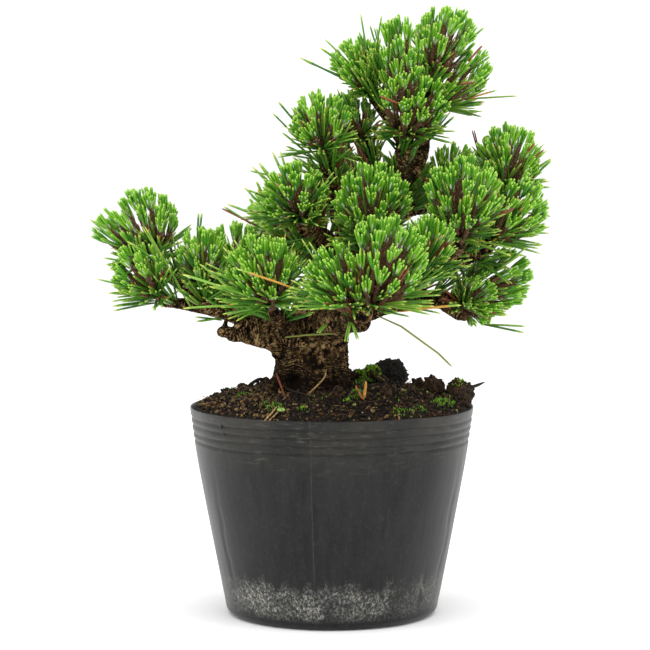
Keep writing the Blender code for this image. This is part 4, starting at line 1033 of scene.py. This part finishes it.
# Masses: each is a dome of new shoots on a short stem at a bough's tip or on the trunk. Shoots start from the
# stem's head by the golden angle and end at the dome's surface, and each mass keeps to its own space.
# Each mass's limb and its place along it, the dome's centre and radius, and the old needles' length.
MASSES = {
    "needles_apex_top": ("trunk", 1.0, (59.8, 0, 306.4), 17, 24),
    "needles_apex_mid": ("trunk", 0.91, (37.3, -14, 300.2), 17, 26),
    "needles_apex_front": ("trunk", 0.85, (43.5, -24, 275.5), 19, 28),
    "needles_apex_right": ("trunk", 0.94, (68.1, 6, 289.7), 17, 34),
    "needles_apex_left": ("bough_apex_left", 1.0, (13.6, 6, 289.6), 17, 32),
    "needles_apex_back": ("bough_apex_back", 1.0, (46.3, 30, 290.0), 18, 28),
    "needles_upper_outer": ("bough_upper_outer", 1.0, (-5.7, -6, 260.9), 17, 26),
    "needles_upper_inner": ("bough_upper_inner", 1.0, (13.5, 8, 267.5), 14, 26),
    "needles_upper_back": ("bough_back_high", 1.0, (7.3, 52, 247.3), 18, 28),
    "needles_centre_back": ("bough_back_high", 1.0, (42.3, 34, 226.6), 18, 26),
    "needles_shoulder_low": ("bough_shoulder_low", 1.0, (-3.1, 6, 237.1), 13, 24),
    "needles_shoulder_left": ("bough_shoulder_left", 1.0, (-18.6, -24, 222.4), 19, 36),
    "needles_centre_front": ("bough_centre_front", 1.0, (20.5, -38, 220.8), 21, 30),
    "needles_right_crest": ("bough_right_crest", 1.0, (66.0, 22, 233.0), 17, 26),
    "needles_right_top": ("bough_right_top", 1.0, (93.6, 4, 243.2), 18, 30),
    "needles_right_front": ("bough_right_front", 1.0, (67.5, -42, 224.1), 21, 32),
    "needles_right_outer": ("bough_right", 1.0, (95.2, -6, 216.6), 20, 30),
    "needles_right_inner": ("bough_right_inner", 1.0, (49.8, -52, 202.1), 14, 30),
    "needles_right_back": ("bough_back_right", 1.0, (82.7, 60, 222.5), 19, 28),
    "needles_back_low_right": ("bough_back_right", 1.0, (64.0, 66, 188.0), 18, 28),
    "needles_front_main": ("bough_front", 1.0, (26.8, -78, 194.5), 22, 38),
    "needles_front_left": ("bough_front", 1.0, (2.9, -74, 184.2), 18, 40),
    "needles_left_centre": ("bough_left_centre", 1.0, (-35.6, -52, 186.8), 19, 40),
    "needles_left_back": ("bough_back_left", 1.0, (-28.2, 52, 210.7), 19, 28),
    "needles_back_low_left": ("bough_back_left", 1.0, (-38.0, 62, 186.0), 18, 28),
    "needles_left_mid": ("bough_left_mid", 1.0, (-49.7, 4, 193.8), 16, 28),
    "needles_left_small": ("bough_left_small", 1.0, (-67.0, -10, 192.5), 15, 28),
    "needles_left_high": ("bough_left_high", 1.0, (-99.2, 2, 209.8), 18, 26),
    "needles_left_tip": ("bough_left_high", 1.0, (-117.4, -8, 205.5), 10, 18),
    "needles_left_low": ("bough_left", 1.0, (-100.9, -14, 183.6), 16, 26),
    "needles_lower_right": ("bough_lower", 1.0, (89.7, 4, 178.9), 18, 36),
    "needles_lower_tip": ("bough_lower", 1.0, (76.7, -10, 166.2), 14, 24),
}
GAP = 0.3 * MM
CLEAR = 0.7 * MM
STEM_LENGTH = 4.5 * MM
STEM_RADIUS = 2.1 * MM
GOLDEN_ANGLE = math.radians(137.508)
SHOOTS = 27
SHOOTS_AT_RADIUS = 20.0 * MM
FEWEST_SHOOTS = 8
DOME_SPREAD = math.radians(106)
FIRST_SHOOT = 0.22
LAST_SHOOT = 0.02
FORK_SPREAD = 0.40
TURN_SPREAD = 0.25
SHORTEST = 9.0 * MM
SHOOT_RADIUS = 1.3 * MM
SHOOT_SHORT = 8.5 * MM


def nearest(a, b, c, d):
    """Closest points of each segment a-b with each segment c-d, in arrays that broadcast."""
    u, v, w = b - a, d - c, a - c
    uu, uv, vv = (u * u).sum(-1), (u * v).sum(-1), (v * v).sum(-1)
    uw, vw = (u * w).sum(-1), (v * w).sum(-1)
    spread = np.maximum(uu * vv - uv * uv, 1e-15)
    s = np.clip((uv * vw - vv * uw) / spread, 0, 1)
    t = np.clip((uv * s + vw) / vv, 0, 1)
    s = np.clip((uv * t - uw) / uu, 0, 1)
    return a + u * s[..., None], c + v * t[..., None]


limb_starts = np.concatenate([line[:-1] for line, _ in limbs.values()])
limb_ends = np.concatenate([line[1:] for line, _ in limbs.values()])
limb_radii = np.concatenate([np.maximum(radii[:-1], radii[1:]) for _, radii in limbs.values()])


def clear_of_limbs(a, b):
    """Which straight pieces stay off every limb."""
    near, far = nearest(a[:, None], b[:, None], limb_starts[None], limb_ends[None])
    return (np.linalg.norm(near - far, axis=-1) > limb_radii + CLEAR).all(1)


def seats():
    """Where each mass's stem stands: its foot, the way it points and the dome's centre."""
    result = {}
    for name, (limb, fraction, centre, _radius, _old) in MASSES.items():
        centre = np.array(centre) * MM
        points, radii = limbs[limb]
        if fraction < 1:
            point, radius, direction = along(points, radii, fraction)
            way = centre - point
            way = unit(way - direction * way.dot(direction))
        else:
            point, radius = points[-1], radii[-1]
            sharing = [row for row in MASSES.values() if row[0] == limb and row[1] == fraction]
            middle = sum(unit(np.array(row[2]) * MM - point) for row in sharing) / len(sharing)
            way = unit(unit(centre - point) * 2 - middle)
        result[name] = (point + way * (radius + GAP), way, centre)
    return result


def spaces(stands):
    """Each mass's own space, as planes between its spine and those of its neighbours."""
    result = {}
    for name, (foot, _way, centre) in stands.items():
        points, normals = [], []
        for other, (other_foot, _other_way, other_centre) in stands.items():
            if other != name:
                near, far = nearest(foot, centre, other_foot, other_centre)
                share = MASSES[name][3] / (MASSES[name][3] + MASSES[other][3])
                points.append(near + (far - near) * share)
                normals.append(unit(far - near))
        result[name] = (np.array(points), np.array(normals))
    return result


def room(starts, ways, space):
    """Distance along each direction to the edge of the mass's space."""
    points, normals = space
    closing = ways @ normals.T
    left = ((points[None] - starts[:, None]) * normals[None]).sum(-1) - CLEAR
    return np.where(closing > 1e-9, left / np.maximum(closing, 1e-9), np.inf).min(1)


def way_out(starts, ways, centre, radius, space):
    """Distance along each direction to the dome's surface or to the edge of the mass's space."""
    offset = starts - centre
    along_ray = (offset * ways).sum(-1)
    inside = along_ray ** 2 - (offset ** 2).sum(-1) + radius ** 2
    reach = np.sqrt(np.maximum(inside, 0)) - along_ray
    return np.minimum(reach, room(starts, ways, space))


def across(ways, turns):
    """Directions square to the given ones, turned round them."""
    side = unit(np.cross(ways, (0.31, 0.22, 0.92)))
    back = np.cross(ways, side)
    return side * np.cos(turns)[:, None] + back * np.sin(turns)[:, None]


# New needles come in pairs from a papery white sheath, most of them on the upper part of each shoot. Old
# needles stand round the stem below, longer and darker, and a few of them have dried to rust.
PAIRS = 5
PAIR_ZONE = (0.82, 1.0)
PAIR_LEAN = (19, 4)
NEW_LENGTH = (9.0, 13.5)
NEW_WIDTH = 1.65
NEW_THICKNESS = 1.25
PAIR_SPLAY = (0.2, 2.6)
SHEATH_LENGTH = (3.2, 5.8)
SHEATH_GIRTH = 1.2
SCALES = 16
OLD_PAIRS = 56
OLD_RISE = (-10, 62)
OLD_SHARE = (0.6, 1.0)
OLD_WIDTH = 1.55
OLD_THICKNESS = 1.1
LIMB_PAIRS = 26
LIMB_ZONE = 0.45
LIMB_LEAN = (15, 60)
LIMB_START = 3.0 * MM
DROOP = (-0.20, 0.12)
LIMB_DROOP = (0.05, 0.45)
NEEDLE_PROFILE = ((0.0, 0.72), (0.3, 1.0), (0.80, 0.95), (0.92, 0.78), (0.98, 0.45))
SHEATH_PROFILE = ((0.0, 0.6), (0.45, 1.0), (0.8, 0.75))
SCALE_PROFILE = ((0.0, 0.8), (0.4, 1.0))
SHOOT_PROFILE = ((0.0, 1.25), (0.25, 1.0), (0.6, 0.9), (0.95, 0.62))
NEW_COLOURS = {"new_lime": (0.195, 0.45, 0.028), "new_bright": (0.138, 0.38, 0.020),
               "new_green": (0.092, 0.305, 0.016), "new_deep": (0.048, 0.185, 0.012),
               "new_soft_tip": (0.185, 0.43, 0.029), "new_tip": (0.35, 0.56, 0.075)}
OLD_COLOURS = {"old_green": (0.105, 0.285, 0.024), "old_dark": (0.050, 0.165, 0.018),
               "old_olive": (0.175, 0.32, 0.034), "old_rust": (0.22, 0.060, 0.028),
               "old_soft_tip": (0.19, 0.37, 0.038), "old_tip": (0.42, 0.52, 0.085),
               "old_gold": (0.52, 0.27, 0.04), "old_bright": (0.18, 0.38, 0.034),
               "old_straw": (0.21, 0.235, 0.045)}
OLD_NUMBER = {name: number for number, name in enumerate(OLD_COLOURS)}
SHOOT_COLOURS = {"shoot_brown": (0.115, 0.057, 0.027), "scale_brown": (0.235, 0.122, 0.058),
                 "scale_pale": (0.50, 0.44, 0.34)}
SHEATH_COLOURS = {"sheath_white": (0.64, 0.65, 0.54), "sheath_grey": (0.42, 0.39, 0.29)}


def grow_mass(name, foot, way, centre, space):
    """Every blade of one mass, by kind, as lists of the arrays that blades() takes."""
    radius, old_length = MASSES[name][3] * MM, MASSES[name][4] * MM
    rng = np.random.default_rng(random.Random(name).getrandbits(32))
    hub = foot + way * STEM_LENGTH
    up = unit(centre - hub)
    count = max(FEWEST_SHOOTS, round(SHOOTS * (radius / SHOOTS_AT_RADIUS) ** 2))
    level = (np.arange(count) + 0.3) / count
    tilt = np.arccos(1 - level * (1 - math.cos(DOME_SPREAD)))
    turn = GOLDEN_ANGLE * np.arange(count) + rng.uniform(-TURN_SPREAD, TURN_SPREAD, count)
    ups = np.repeat(up[None], count, axis=0)
    targets = centre + radius * (ups * np.cos(tilt)[:, None] + across(ups, turn) * np.sin(tilt)[:, None])
    rise = way_out(hub[None], up[None], centre, radius, space)[0]
    starts = hub + np.outer(rise * (FIRST_SHOOT + (LAST_SHOOT - FIRST_SHOOT) * level), up)
    aside = (targets - centre) - np.outer(((targets - centre) * up).sum(-1), up)
    starts = starts + aside * FORK_SPREAD
    ways = unit(targets - starts)
    reach = way_out(starts, ways, centre, radius, space)
    kept = (reach > SHORTEST) & clear_of_limbs(starts, starts + ways * reach[:, None])
    starts, ways, reach = starts[kept], ways[kept], reach[kept]
    count = len(starts)
    stem_length = np.maximum(reach - SHOOT_SHORT * rng.uniform(0.8, 1.3, count), SHORTEST * 0.6)
    forks = starts - hub
    fork_lengths = np.linalg.norm(forks, axis=1)
    stem_ways = np.concatenate([ways, forks / fork_lengths[:, None]])
    thick = np.full(count * 2, SHOOT_RADIUS * 2)
    stem_roots = np.concatenate([starts - ways * SHOOT_RADIUS, np.repeat(hub[None], count, axis=0)])
    stem_flats = across(stem_ways, rng.uniform(0, math.tau, count * 2))
    stem_lengths = np.concatenate([stem_length + SHOOT_RADIUS, fork_lengths + SHOOT_RADIUS])
    grown = {"shoots": (stem_roots, stem_ways, stem_flats, stem_lengths, thick, thick,
                        np.zeros(count * 2), np.zeros(count * 2, int))}

    place = np.linspace(*PAIR_ZONE, PAIRS)[None] + rng.uniform(-0.02, 0.02, (count, PAIRS))
    order = np.arange(PAIRS)[None] * GOLDEN_ANGLE + rng.uniform(0, math.tau, (count, 1))
    lean = np.radians(np.linspace(*PAIR_LEAN, PAIRS)[None] + rng.normal(0, 3.5, (count, PAIRS)))
    axis = np.repeat(ways, PAIRS, axis=0)
    out = across(axis, (order + rng.uniform(-0.3, 0.3, order.shape)).ravel())
    roots = np.repeat(starts, PAIRS, axis=0) + axis * (place * stem_length[:, None]).ravel()[:, None]
    roots += out * SHOOT_RADIUS * 0.55
    headings = unit(axis * np.cos(lean).ravel()[:, None] + out * np.sin(lean).ravel()[:, None])
    length = np.minimum(way_out(roots, headings, centre, radius, space) * rng.uniform(0.76, 1.06, len(roots)),
                        rng.uniform(*NEW_LENGTH, len(roots)) * MM)
    good = (length > SHORTEST * 0.45) & clear_of_limbs(roots, roots + headings * length[:, None])
    spray = np.repeat(rng.choice(4, count, p=(0.28, 0.34, 0.26, 0.12)), PAIRS)
    alone = rng.uniform(size=len(spray)) < 0.45
    spray = np.where(alone, rng.choice(4, len(spray), p=(0.3, 0.3, 0.25, 0.15)), spray)
    roots, headings, length, out, spray = roots[good], headings[good], length[good], out[good], spray[good]
    flat = unit(np.cross(headings, out) + rng.normal(0, 0.35, headings.shape))
    flat = unit(flat - headings * (flat * headings).sum(-1, keepdims=True))
    splay = np.radians(rng.uniform(*PAIR_SPLAY, len(roots)))[:, None]
    pair = []
    for sign in (-1, 1):
        heading = unit(headings + flat * np.tan(splay) * sign)
        base = roots + flat * sign * NEW_WIDTH * 0.36 * MM
        pair.append((base, heading, flat, length * rng.uniform(0.94, 1.0, len(roots)),
                     rng.uniform(0.85, 1.1, len(roots)) * NEW_WIDTH * MM,
                     np.full(len(roots), NEW_THICKNESS * MM), rng.uniform(-0.02, 0.07, len(roots)), spray))
    grown["new"] = tuple(np.concatenate(two) for two in zip(*pair))
    sheath = rng.uniform(*SHEATH_LENGTH, len(roots)) * MM
    grown["sheaths"] = (roots - headings * 0.6 * MM, headings, flat, sheath,
                        np.full(len(roots), NEW_WIDTH * SHEATH_GIRTH * MM),
                        np.full(len(roots), NEW_THICKNESS * SHEATH_GIRTH * MM),
                        np.zeros(len(roots)), rng.choice(2, len(roots), p=(0.7, 0.3)))

    place = np.linspace(0.04, 0.98, SCALES)[None] + rng.uniform(-0.02, 0.02, (count, SCALES))
    axis = np.repeat(ways, SCALES, axis=0)
    out = across(axis, (np.arange(SCALES)[None] * GOLDEN_ANGLE * 1.6 + rng.uniform(0, 6, (count, 1))).ravel())
    roots = np.repeat(starts, SCALES, axis=0) + axis * (place * stem_length[:, None]).ravel()[:, None]
    roots += out * SHOOT_RADIUS * 0.7
    headings = unit(axis + out * rng.uniform(0.15, 0.6, (len(axis), 1)))
    grown["scales"] = (roots, headings, np.cross(headings, out), rng.uniform(1.4, 3.0, len(roots)) * MM,
                       rng.uniform(0.7, 1.2, len(roots)) * MM, np.full(len(roots), 0.35 * MM),
                       rng.uniform(-0.2, 0.1, len(roots)), rng.choice((1, 2), len(roots), p=(0.72, 0.28)))

    count = round(OLD_PAIRS * radius / SHOOTS_AT_RADIUS)
    level = rng.uniform(0.15, 1.6, count)
    turn = GOLDEN_ANGLE * np.arange(count) + rng.uniform(-0.4, 0.4, count)
    out = across(np.repeat(up[None], count, axis=0), turn)
    roots = foot + np.outer(level * STEM_LENGTH, way) + out * STEM_RADIUS * 0.6
    lift = np.radians(np.interp(level, (0.15, 1.6), OLD_RISE) + rng.normal(0, 8, count))
    headings = unit(out * np.cos(lift)[:, None] + up * np.sin(lift)[:, None])
    limb, fraction = MASSES[name][:2]
    stretch = LIMB_ZONE if limb != "trunk" else LIMB_ZONE / 3
    spots = [along(*limbs[limb], fraction - stretch * share) for share in rng.uniform(0, 1, LIMB_PAIRS)]
    axis = np.array([spot[2] for spot in spots])
    limb_out = across(axis, rng.uniform(0, math.tau, LIMB_PAIRS))
    limb_out[:, 2] = np.abs(limb_out[:, 2])
    limb_roots = np.array([spot[0] + limb_way * spot[1] for spot, limb_way in zip(spots, limb_out)])
    lift = np.radians(rng.uniform(*LIMB_LEAN, LIMB_PAIRS))[:, None]
    roots = np.concatenate([roots, limb_roots])
    out = np.concatenate([out, limb_out])
    headings = np.concatenate([headings, unit(limb_out * np.cos(lift) + axis * np.sin(lift))])
    headings[:count, 2] = np.maximum(headings[:count, 2], rng.uniform(*DROOP, count))
    headings[count:, 2] = np.maximum(headings[count:, 2], rng.uniform(*LIMB_DROOP, LIMB_PAIRS))
    count += LIMB_PAIRS
    headings = unit(headings)
    length = np.minimum(old_length * rng.uniform(*OLD_SHARE, count), room(roots, headings, space))
    clear = clear_of_limbs(roots + headings * LIMB_START, roots + headings * length[:, None])
    good = (length > SHORTEST * 0.8) & clear
    roots, headings, length, out = roots[good], headings[good], length[good], out[good]
    tint = rng.choice(4, len(roots), p=(0.50, 0.30, 0.165, 0.035))
    flat = unit(np.cross(headings, up) + rng.normal(0, 0.3, headings.shape))
    flat = unit(flat - headings * (flat * headings).sum(-1, keepdims=True))
    splay = np.radians(rng.uniform(1.5, 7, len(roots)))[:, None]
    pair = []
    for sign in (-1, 1):
        heading = unit(headings + flat * np.tan(splay) * sign)
        base = roots + flat * sign * 0.4 * MM
        pair.append((base, heading, flat, length * rng.uniform(0.9, 1.0, len(roots)),
                     rng.uniform(0.8, 1.1, len(roots)) * OLD_WIDTH * MM,
                     np.full(len(roots), OLD_THICKNESS * MM), rng.uniform(-0.05, 0.09, len(roots)), tint))
    grown["old"] = tuple(np.concatenate(two) for two in zip(*pair))
    return grown


mass_seats = seats()
mass_spaces = spaces(mass_seats)
kinds = {}
for mass_name, (mass_foot, mass_way, mass_centre) in mass_seats.items():
    part_of_crown = mass_name.split("_")[1]
    grown = grow_mass(mass_name, mass_foot, mass_way, mass_centre, mass_spaces[mass_name])
    for kind, arrays in grown.items():
        kinds.setdefault(kind, {}).setdefault(part_of_crown, []).append(arrays)
    stem_width = np.array([STEM_RADIUS * 2])
    stem = (mass_foot[None] - mass_way * 1.2 * MM, mass_way[None], across(mass_way[None], np.zeros(1)),
            np.array([STEM_LENGTH * 1.5]), stem_width, stem_width, np.zeros(1), np.zeros(1, int))
    kinds["shoots"][part_of_crown].append(stem)


def needle_slots(tints, soft_tip, tips, faces):
    """Colour of each face: a needle's own green, then a paler ring, and last its tip's."""
    slots = np.repeat(tints[:, None], faces, axis=1)
    ring_faces, tip_faces = slice(-12, -8), slice(-8, None)
    slots[:, ring_faces] = np.where(tips == tints, tints, soft_tip)[:, None]
    slots[:, tip_faces] = tips[:, None]
    return slots


def dealt(kind):
    """Each crown part's arrays of one kind, joined."""
    for part_of_crown, lists in kinds[kind].items():
        yield part_of_crown, tuple(np.concatenate(columns) for columns in zip(*lists))


new_finish = [principled(name, colour, 0.42, 0.35)[0] for name, colour in NEW_COLOURS.items()]
old_finish = [principled(name, colour, 0.42, 0.35)[0] for name, colour in OLD_COLOURS.items()]
shoot_finish = [mottled(name, colour, 0.75) for name, colour in SHOOT_COLOURS.items()]
sheath_finish = [principled(name, colour, 0.7, 0.3)[0] for name, colour in SHEATH_COLOURS.items()]
for part_of_crown, (*form, tints) in dealt("new"):
    faces = blade_faces(len(NEEDLE_PROFILE), 4)
    soft_tip, tip = (list(NEW_COLOURS).index(name) for name in ("new_soft_tip", "new_tip"))
    slots = needle_slots(tints, soft_tip, np.full(len(tints), tip), len(faces))
    mesh = joined("new_needles_" + part_of_crown, blades(*form, NEEDLE_PROFILE, 4), faces, slots, new_finish)
    stands_for = [name for name in MASSES if name.split("_")[1] == part_of_crown]
    show("new_needles_" + part_of_crown, mesh, "needles", *stands_for)
for part_of_crown, (*form, tints) in dealt("old"):
    faces = blade_faces(len(NEEDLE_PROFILE), 4)
    rng = np.random.default_rng(len(tints))
    tips = rng.choice((OLD_NUMBER["old_tip"], OLD_NUMBER["old_gold"]), len(tints), p=(0.94, 0.06))
    tips = np.where(tints == OLD_NUMBER["old_rust"], tints, tips)
    slots = needle_slots(tints, OLD_NUMBER["old_soft_tip"], tips, len(faces))
    mesh = joined("old_needles_" + part_of_crown, blades(*form, NEEDLE_PROFILE, 4), faces, slots, old_finish)
    show("old_needles_" + part_of_crown, mesh, "needles")
for kind, profile, sides, finish in (("sheaths", SHEATH_PROFILE, 4, sheath_finish),
                                     ("scales", SCALE_PROFILE, 3, shoot_finish),
                                     ("shoots", SHOOT_PROFILE, 6, shoot_finish)):
    whole = tuple(np.concatenate(columns) for columns in zip(*(arrays for _, arrays in dealt(kind))))
    faces = blade_faces(len(profile), sides)
    slots = np.repeat(whole[-1], len(faces))
    mesh = joined("needle_" + kind, blades(*whole[:-1], profile, sides), faces, slots, finish)
    show("needle_" + kind, mesh, "needles" if kind == "sheaths" else "bark")

# Stray needles: long old pairs that stand out of the crown's outline, one across the trunk and one that
# droops by the right of it. They grow from the old wood between the masses, and a few have dried to rust.
# Each pair's root, its tip, its droop as a share of its length, and its colour.
STRAYS = (
    ((-79, -16, 179), (-106, -26, 199), 0.03, "old_green"),
    ((-74, -14, 164), (-98, -24, 207), 0.02, "old_olive"),
    ((-33, -62, 170), (-76, -58, 184), 0.03, "old_bright"),
    ((-48, -50, 173), (-67, -56, 189), 0.03, "old_bright"),
    ((-17, -72, 177), (-48, -76, 188), 0.04, "old_gold"),
    ((-36, -50, 168), (-76, -50, 166), 0.04, "old_bright"),
    ((-81, -14, 172), (-93, -24, 164), 0.04, "old_olive"),
    ((-92, -14, 166), (-114, -24, 165), 0.03, "old_dark"),
    ((-104, -16, 174), (-122, -22, 179), 0.03, "old_green"),
    ((-39, -26, 207), (-57, -26, 216), 0.03, "old_rust"),
    ((-31, -26, 209), (-54, -22, 218), 0.03, "old_green"),
    ((-26, -10, 231), (-43, -10, 235), 0.03, "old_olive"),
    ((-33, -30, 214), (-45, -30, 227), 0.02, "old_green"),
    ((-33, -24, 216), (-39, -26, 230), 0.02, "old_olive"),
    ((-70, -10, 200), (-69, -8, 213), 0.03, "old_dark"),
    ((-58, -14, 157), (-71, -20, 159), 0.05, "old_dark"),
    ((-58, -14, 158), (-70, -24, 157), 0.05, "old_green"),
    ((-24, -36, 150), (10, -38, 152.5), 0.06, "old_straw"),
    ((-3, -60, 159), (-7, -66, 155), 0.03, "old_bright"),
    ((9, -60, 160), (7, -62, 150), 0.03, "old_bright"),
    ((10, -60, 160), (13, -62, 151), 0.03, "old_bright"),
    ((22.6, -66, 163.7), (59.6, -60, 137.8), 0.26, "old_straw"),
    ((34, -70, 166), (65, -66, 169), 0.04, "old_gold"),
    ((29, -84, 176), (37, -97, 190), 0.02, "old_rust"),
    ((13, 0, 279), (-17, -4, 294), 0.06, "old_dark"),
    ((14, 2, 280), (-14, 2, 292), 0.06, "old_green"),
    ((16, 0, 283), (-6, -6, 299), 0.04, "old_green"),
    ((15, 4, 285), (-4, 4, 304), 0.03, "old_olive"),
    ((15, 0, 287), (6, 0, 303), 0.03, "old_green"),
    ((19, 0, 292), (15, 0, 317), 0.02, "old_green"),
    ((20, 6, 293), (14, 6, 308), 0.02, "old_green"),
    ((23, -6, 297), (26, -6, 316), 0.02, "old_green"),
    ((68, 0, 299), (80, 2, 310), 0.02, "old_green"),
    ((71, 4, 289), (83, 6, 296), 0.03, "old_green"),
    ((73, 6, 274), (85, 8, 288), 0.03, "old_dark"),
    ((69, 6, 272), (98, 2, 274), 0.03, "old_olive"),
    ((70, 4, 272), (87, 4, 277), 0.03, "old_gold"),
    ((63, 2, 267), (79, 4, 263), 0.03, "old_dark"),
    ((45, 0, 253), (61, 2, 258), 0.06, "old_dark"),
    ((71, -12, 292), (78, -14, 300), 0.02, "old_rust"),
    ((66, -18, 280), (74, -20, 281), 0.02, "old_rust"),
    ((34, -40, 270), (24, -43, 274), 0.02, "old_rust"),
    ((-22, -8, 256), (-31, -8, 265), 0.03, "old_dark"),
    ((-19, -8, 260), (-28, -10, 271), 0.03, "old_dark"),
    ((-11, -12, 245), (-24, -18, 246), 0.03, "old_green"),
    ((78, 16, 245), (75, 14, 256), 0.02, "old_rust"),
    ((105, 4, 234), (116, 4, 241), 0.03, "old_green"),
    ((103, 0, 226), (115, 0, 226), 0.03, "old_dark"),
    ((102, -6, 213), (115, -6, 211), 0.03, "old_green"),
    ((80, -6, 154), (102, -6, 153), 0.02, "old_olive"),
    ((80, -6, 154), (101, -10, 150), 0.02, "old_dark"),
    ((88, -6, 183), (102, -10, 195), 0.03, "old_green"),
    ((87, -10, 183), (99, -16, 192), 0.03, "old_olive"),
    ((-112, -12, 197), (-126, -16, 210), 0.03, "old_green"),
    ((-111, -10, 196), (-124, -14, 206), 0.03, "old_dark"),
    ((105, 4, 230), (116, 6, 240), 0.02, "old_green"),
    ((-92, -12, 166), (-114, -16, 162), 0.05, "old_dark"),
    ((-93, -12, 167), (-113, -20, 165), 0.04, "old_green"),
    ((23, 4, 301), (20, 4, 311), 0.02, "old_green"),
    ((25, 6, 300), (23, 8, 310), 0.02, "old_green"),
    ((-14, -6, 245), (-26, -8, 255), 0.02, "old_green"),
    ((-11, -6, 242), (-24, -10, 248), 0.03, "old_green"),
    ((-13, -2, 247), (-23, -4, 256), 0.02, "old_olive"),
    ((-10, -6, 241), (-21, -8, 243), 0.04, "old_green"),
    ((24, -66, 166), (39, -64, 163), 0.05, "old_green"),
    ((34, -60, 168), (55, -56, 164), 0.05, "old_dark"),
    ((-42, -26, 208), (-56, -26, 217), 0.03, "old_green"),
)
# Tufts of such pairs on the trunk and the boughs, which close the crown where domes leave gaps: each one's
# root, main way, count of pairs and length.
TUFTS = (
    ((-13, -4, 166), (-0.55, -0.45, 0.7), 16, 20),
    ((-6, -8, 178), (-0.75, -0.5, 0.25), 14, 20),
    ((-10, -12, 200), (-0.5, -0.2, -0.55), 12, 20),
    ((12, -10, 186), (0.25, -0.55, 0.45), 10, 18),
    ((-58, -4, 165), (-0.15, 0.1, 0.95), 10, 24),
    ((60, 2, 178), (0.35, -0.2, 0.9), 12, 24),
    ((-1, 2, 232), (-0.5, -0.1, 0.75), 10, 18),
    ((-96, -12, 168), (-0.55, -0.1, 0.6), 8, 18),
    ((92, 4, 222), (0.9, -0.1, 0.55), 12, 22),
    ((76, -2, 190), (0.85, -0.3, 0.35), 12, 24),
    ((-100, -12, 188), (-0.75, -0.2, 0.1), 8, 18),
    ((26, -4, 285), (-0.35, -0.2, 0.9), 8, 20),
)
STRAY_WIDTH = 1.3 * MM
STRAY_SPLAY = 0.035
TUFT_SPREAD = 0.34
TUFT_TINTS = ("old_green", "old_green", "old_dark", "old_olive")
STRAY_SEED = 31
rng = np.random.default_rng(STRAY_SEED)
strays = list(STRAYS)
for tuft_root, tuft_way, tuft_pairs, tuft_length in TUFTS:
    for number in range(tuft_pairs):
        way = unit(unit(np.array(tuft_way)) + rng.normal(0, TUFT_SPREAD, 3))
        root = np.array(tuft_root) + rng.normal(0, 1.5, 3)
        strays.append((root, root + way * tuft_length * rng.uniform(0.7, 1.0), 0.04, TUFT_TINTS[number % 4]))
stray_roots = np.array([root for root, *_ in strays]) * MM
stray_ways = np.array([tip for _, tip, *_ in strays]) * MM - stray_roots
stray_lengths = np.linalg.norm(stray_ways, axis=1)
stray_droops = np.array([droop for *_, droop, _ in strays])[:, None]
stray_flats = unit(np.cross(stray_ways, (0.0, 0.0, 1.0)))
stray_downs = unit(np.cross(unit(stray_ways), stray_flats))
stray_ways = unit(unit(stray_ways) - stray_downs * stray_droops)
stray_tints = np.array([OLD_NUMBER[tint] for *_, tint in strays])
stray_forms = []
for sign in (-1, 1):
    heading = unit(stray_ways + stray_flats * sign * STRAY_SPLAY)
    base = stray_roots + stray_flats * sign * STRAY_WIDTH * 0.4
    stray_forms.append(blades(base, heading, stray_flats, stray_lengths, np.full(len(strays), STRAY_WIDTH),
                              np.full(len(strays), STRAY_WIDTH * 0.75), stray_droops[:, 0],
                              NEEDLE_PROFILE, 4))
faces = blade_faces(len(NEEDLE_PROFILE), 4)
dry_tints = (OLD_NUMBER["old_rust"], OLD_NUMBER["old_straw"])
stray_tips = np.where(np.isin(stray_tints, dry_tints), stray_tints, OLD_NUMBER["old_tip"])
stray_slots = needle_slots(stray_tints, OLD_NUMBER["old_soft_tip"], stray_tips, len(faces))
stray_slots = np.tile(stray_slots, (2, 1))
stray_mesh = joined("stray_needles", np.concatenate(stray_forms), faces, stray_slots, old_finish)
show("stray_needles", stray_mesh, "needles")

# Red twig: one thin bare twig of last year on the trunk's left, whose bark is still smooth and red. It grows
# out between the left domes and has lost its needles.
RED_TWIG = ((-8, -10, 190), (-12, -14, 191), (-18, -17, 192.5), (-29, -20, 194))
twig_path = curve_through(np.array(RED_TWIG) * MM, 12)
twig_points, twig_faces = lofted(ring_rows(twig_path, np.linspace(1.1, 0.6, 12) * MM, 7))
twig_mesh = joined("red_twig", twig_points[None], twig_faces, np.zeros(len(twig_faces)),
                   [mottled("twig_red", (0.13, 0.050, 0.030), 0.7)])
show("red_twig", twig_mesh, "bark")
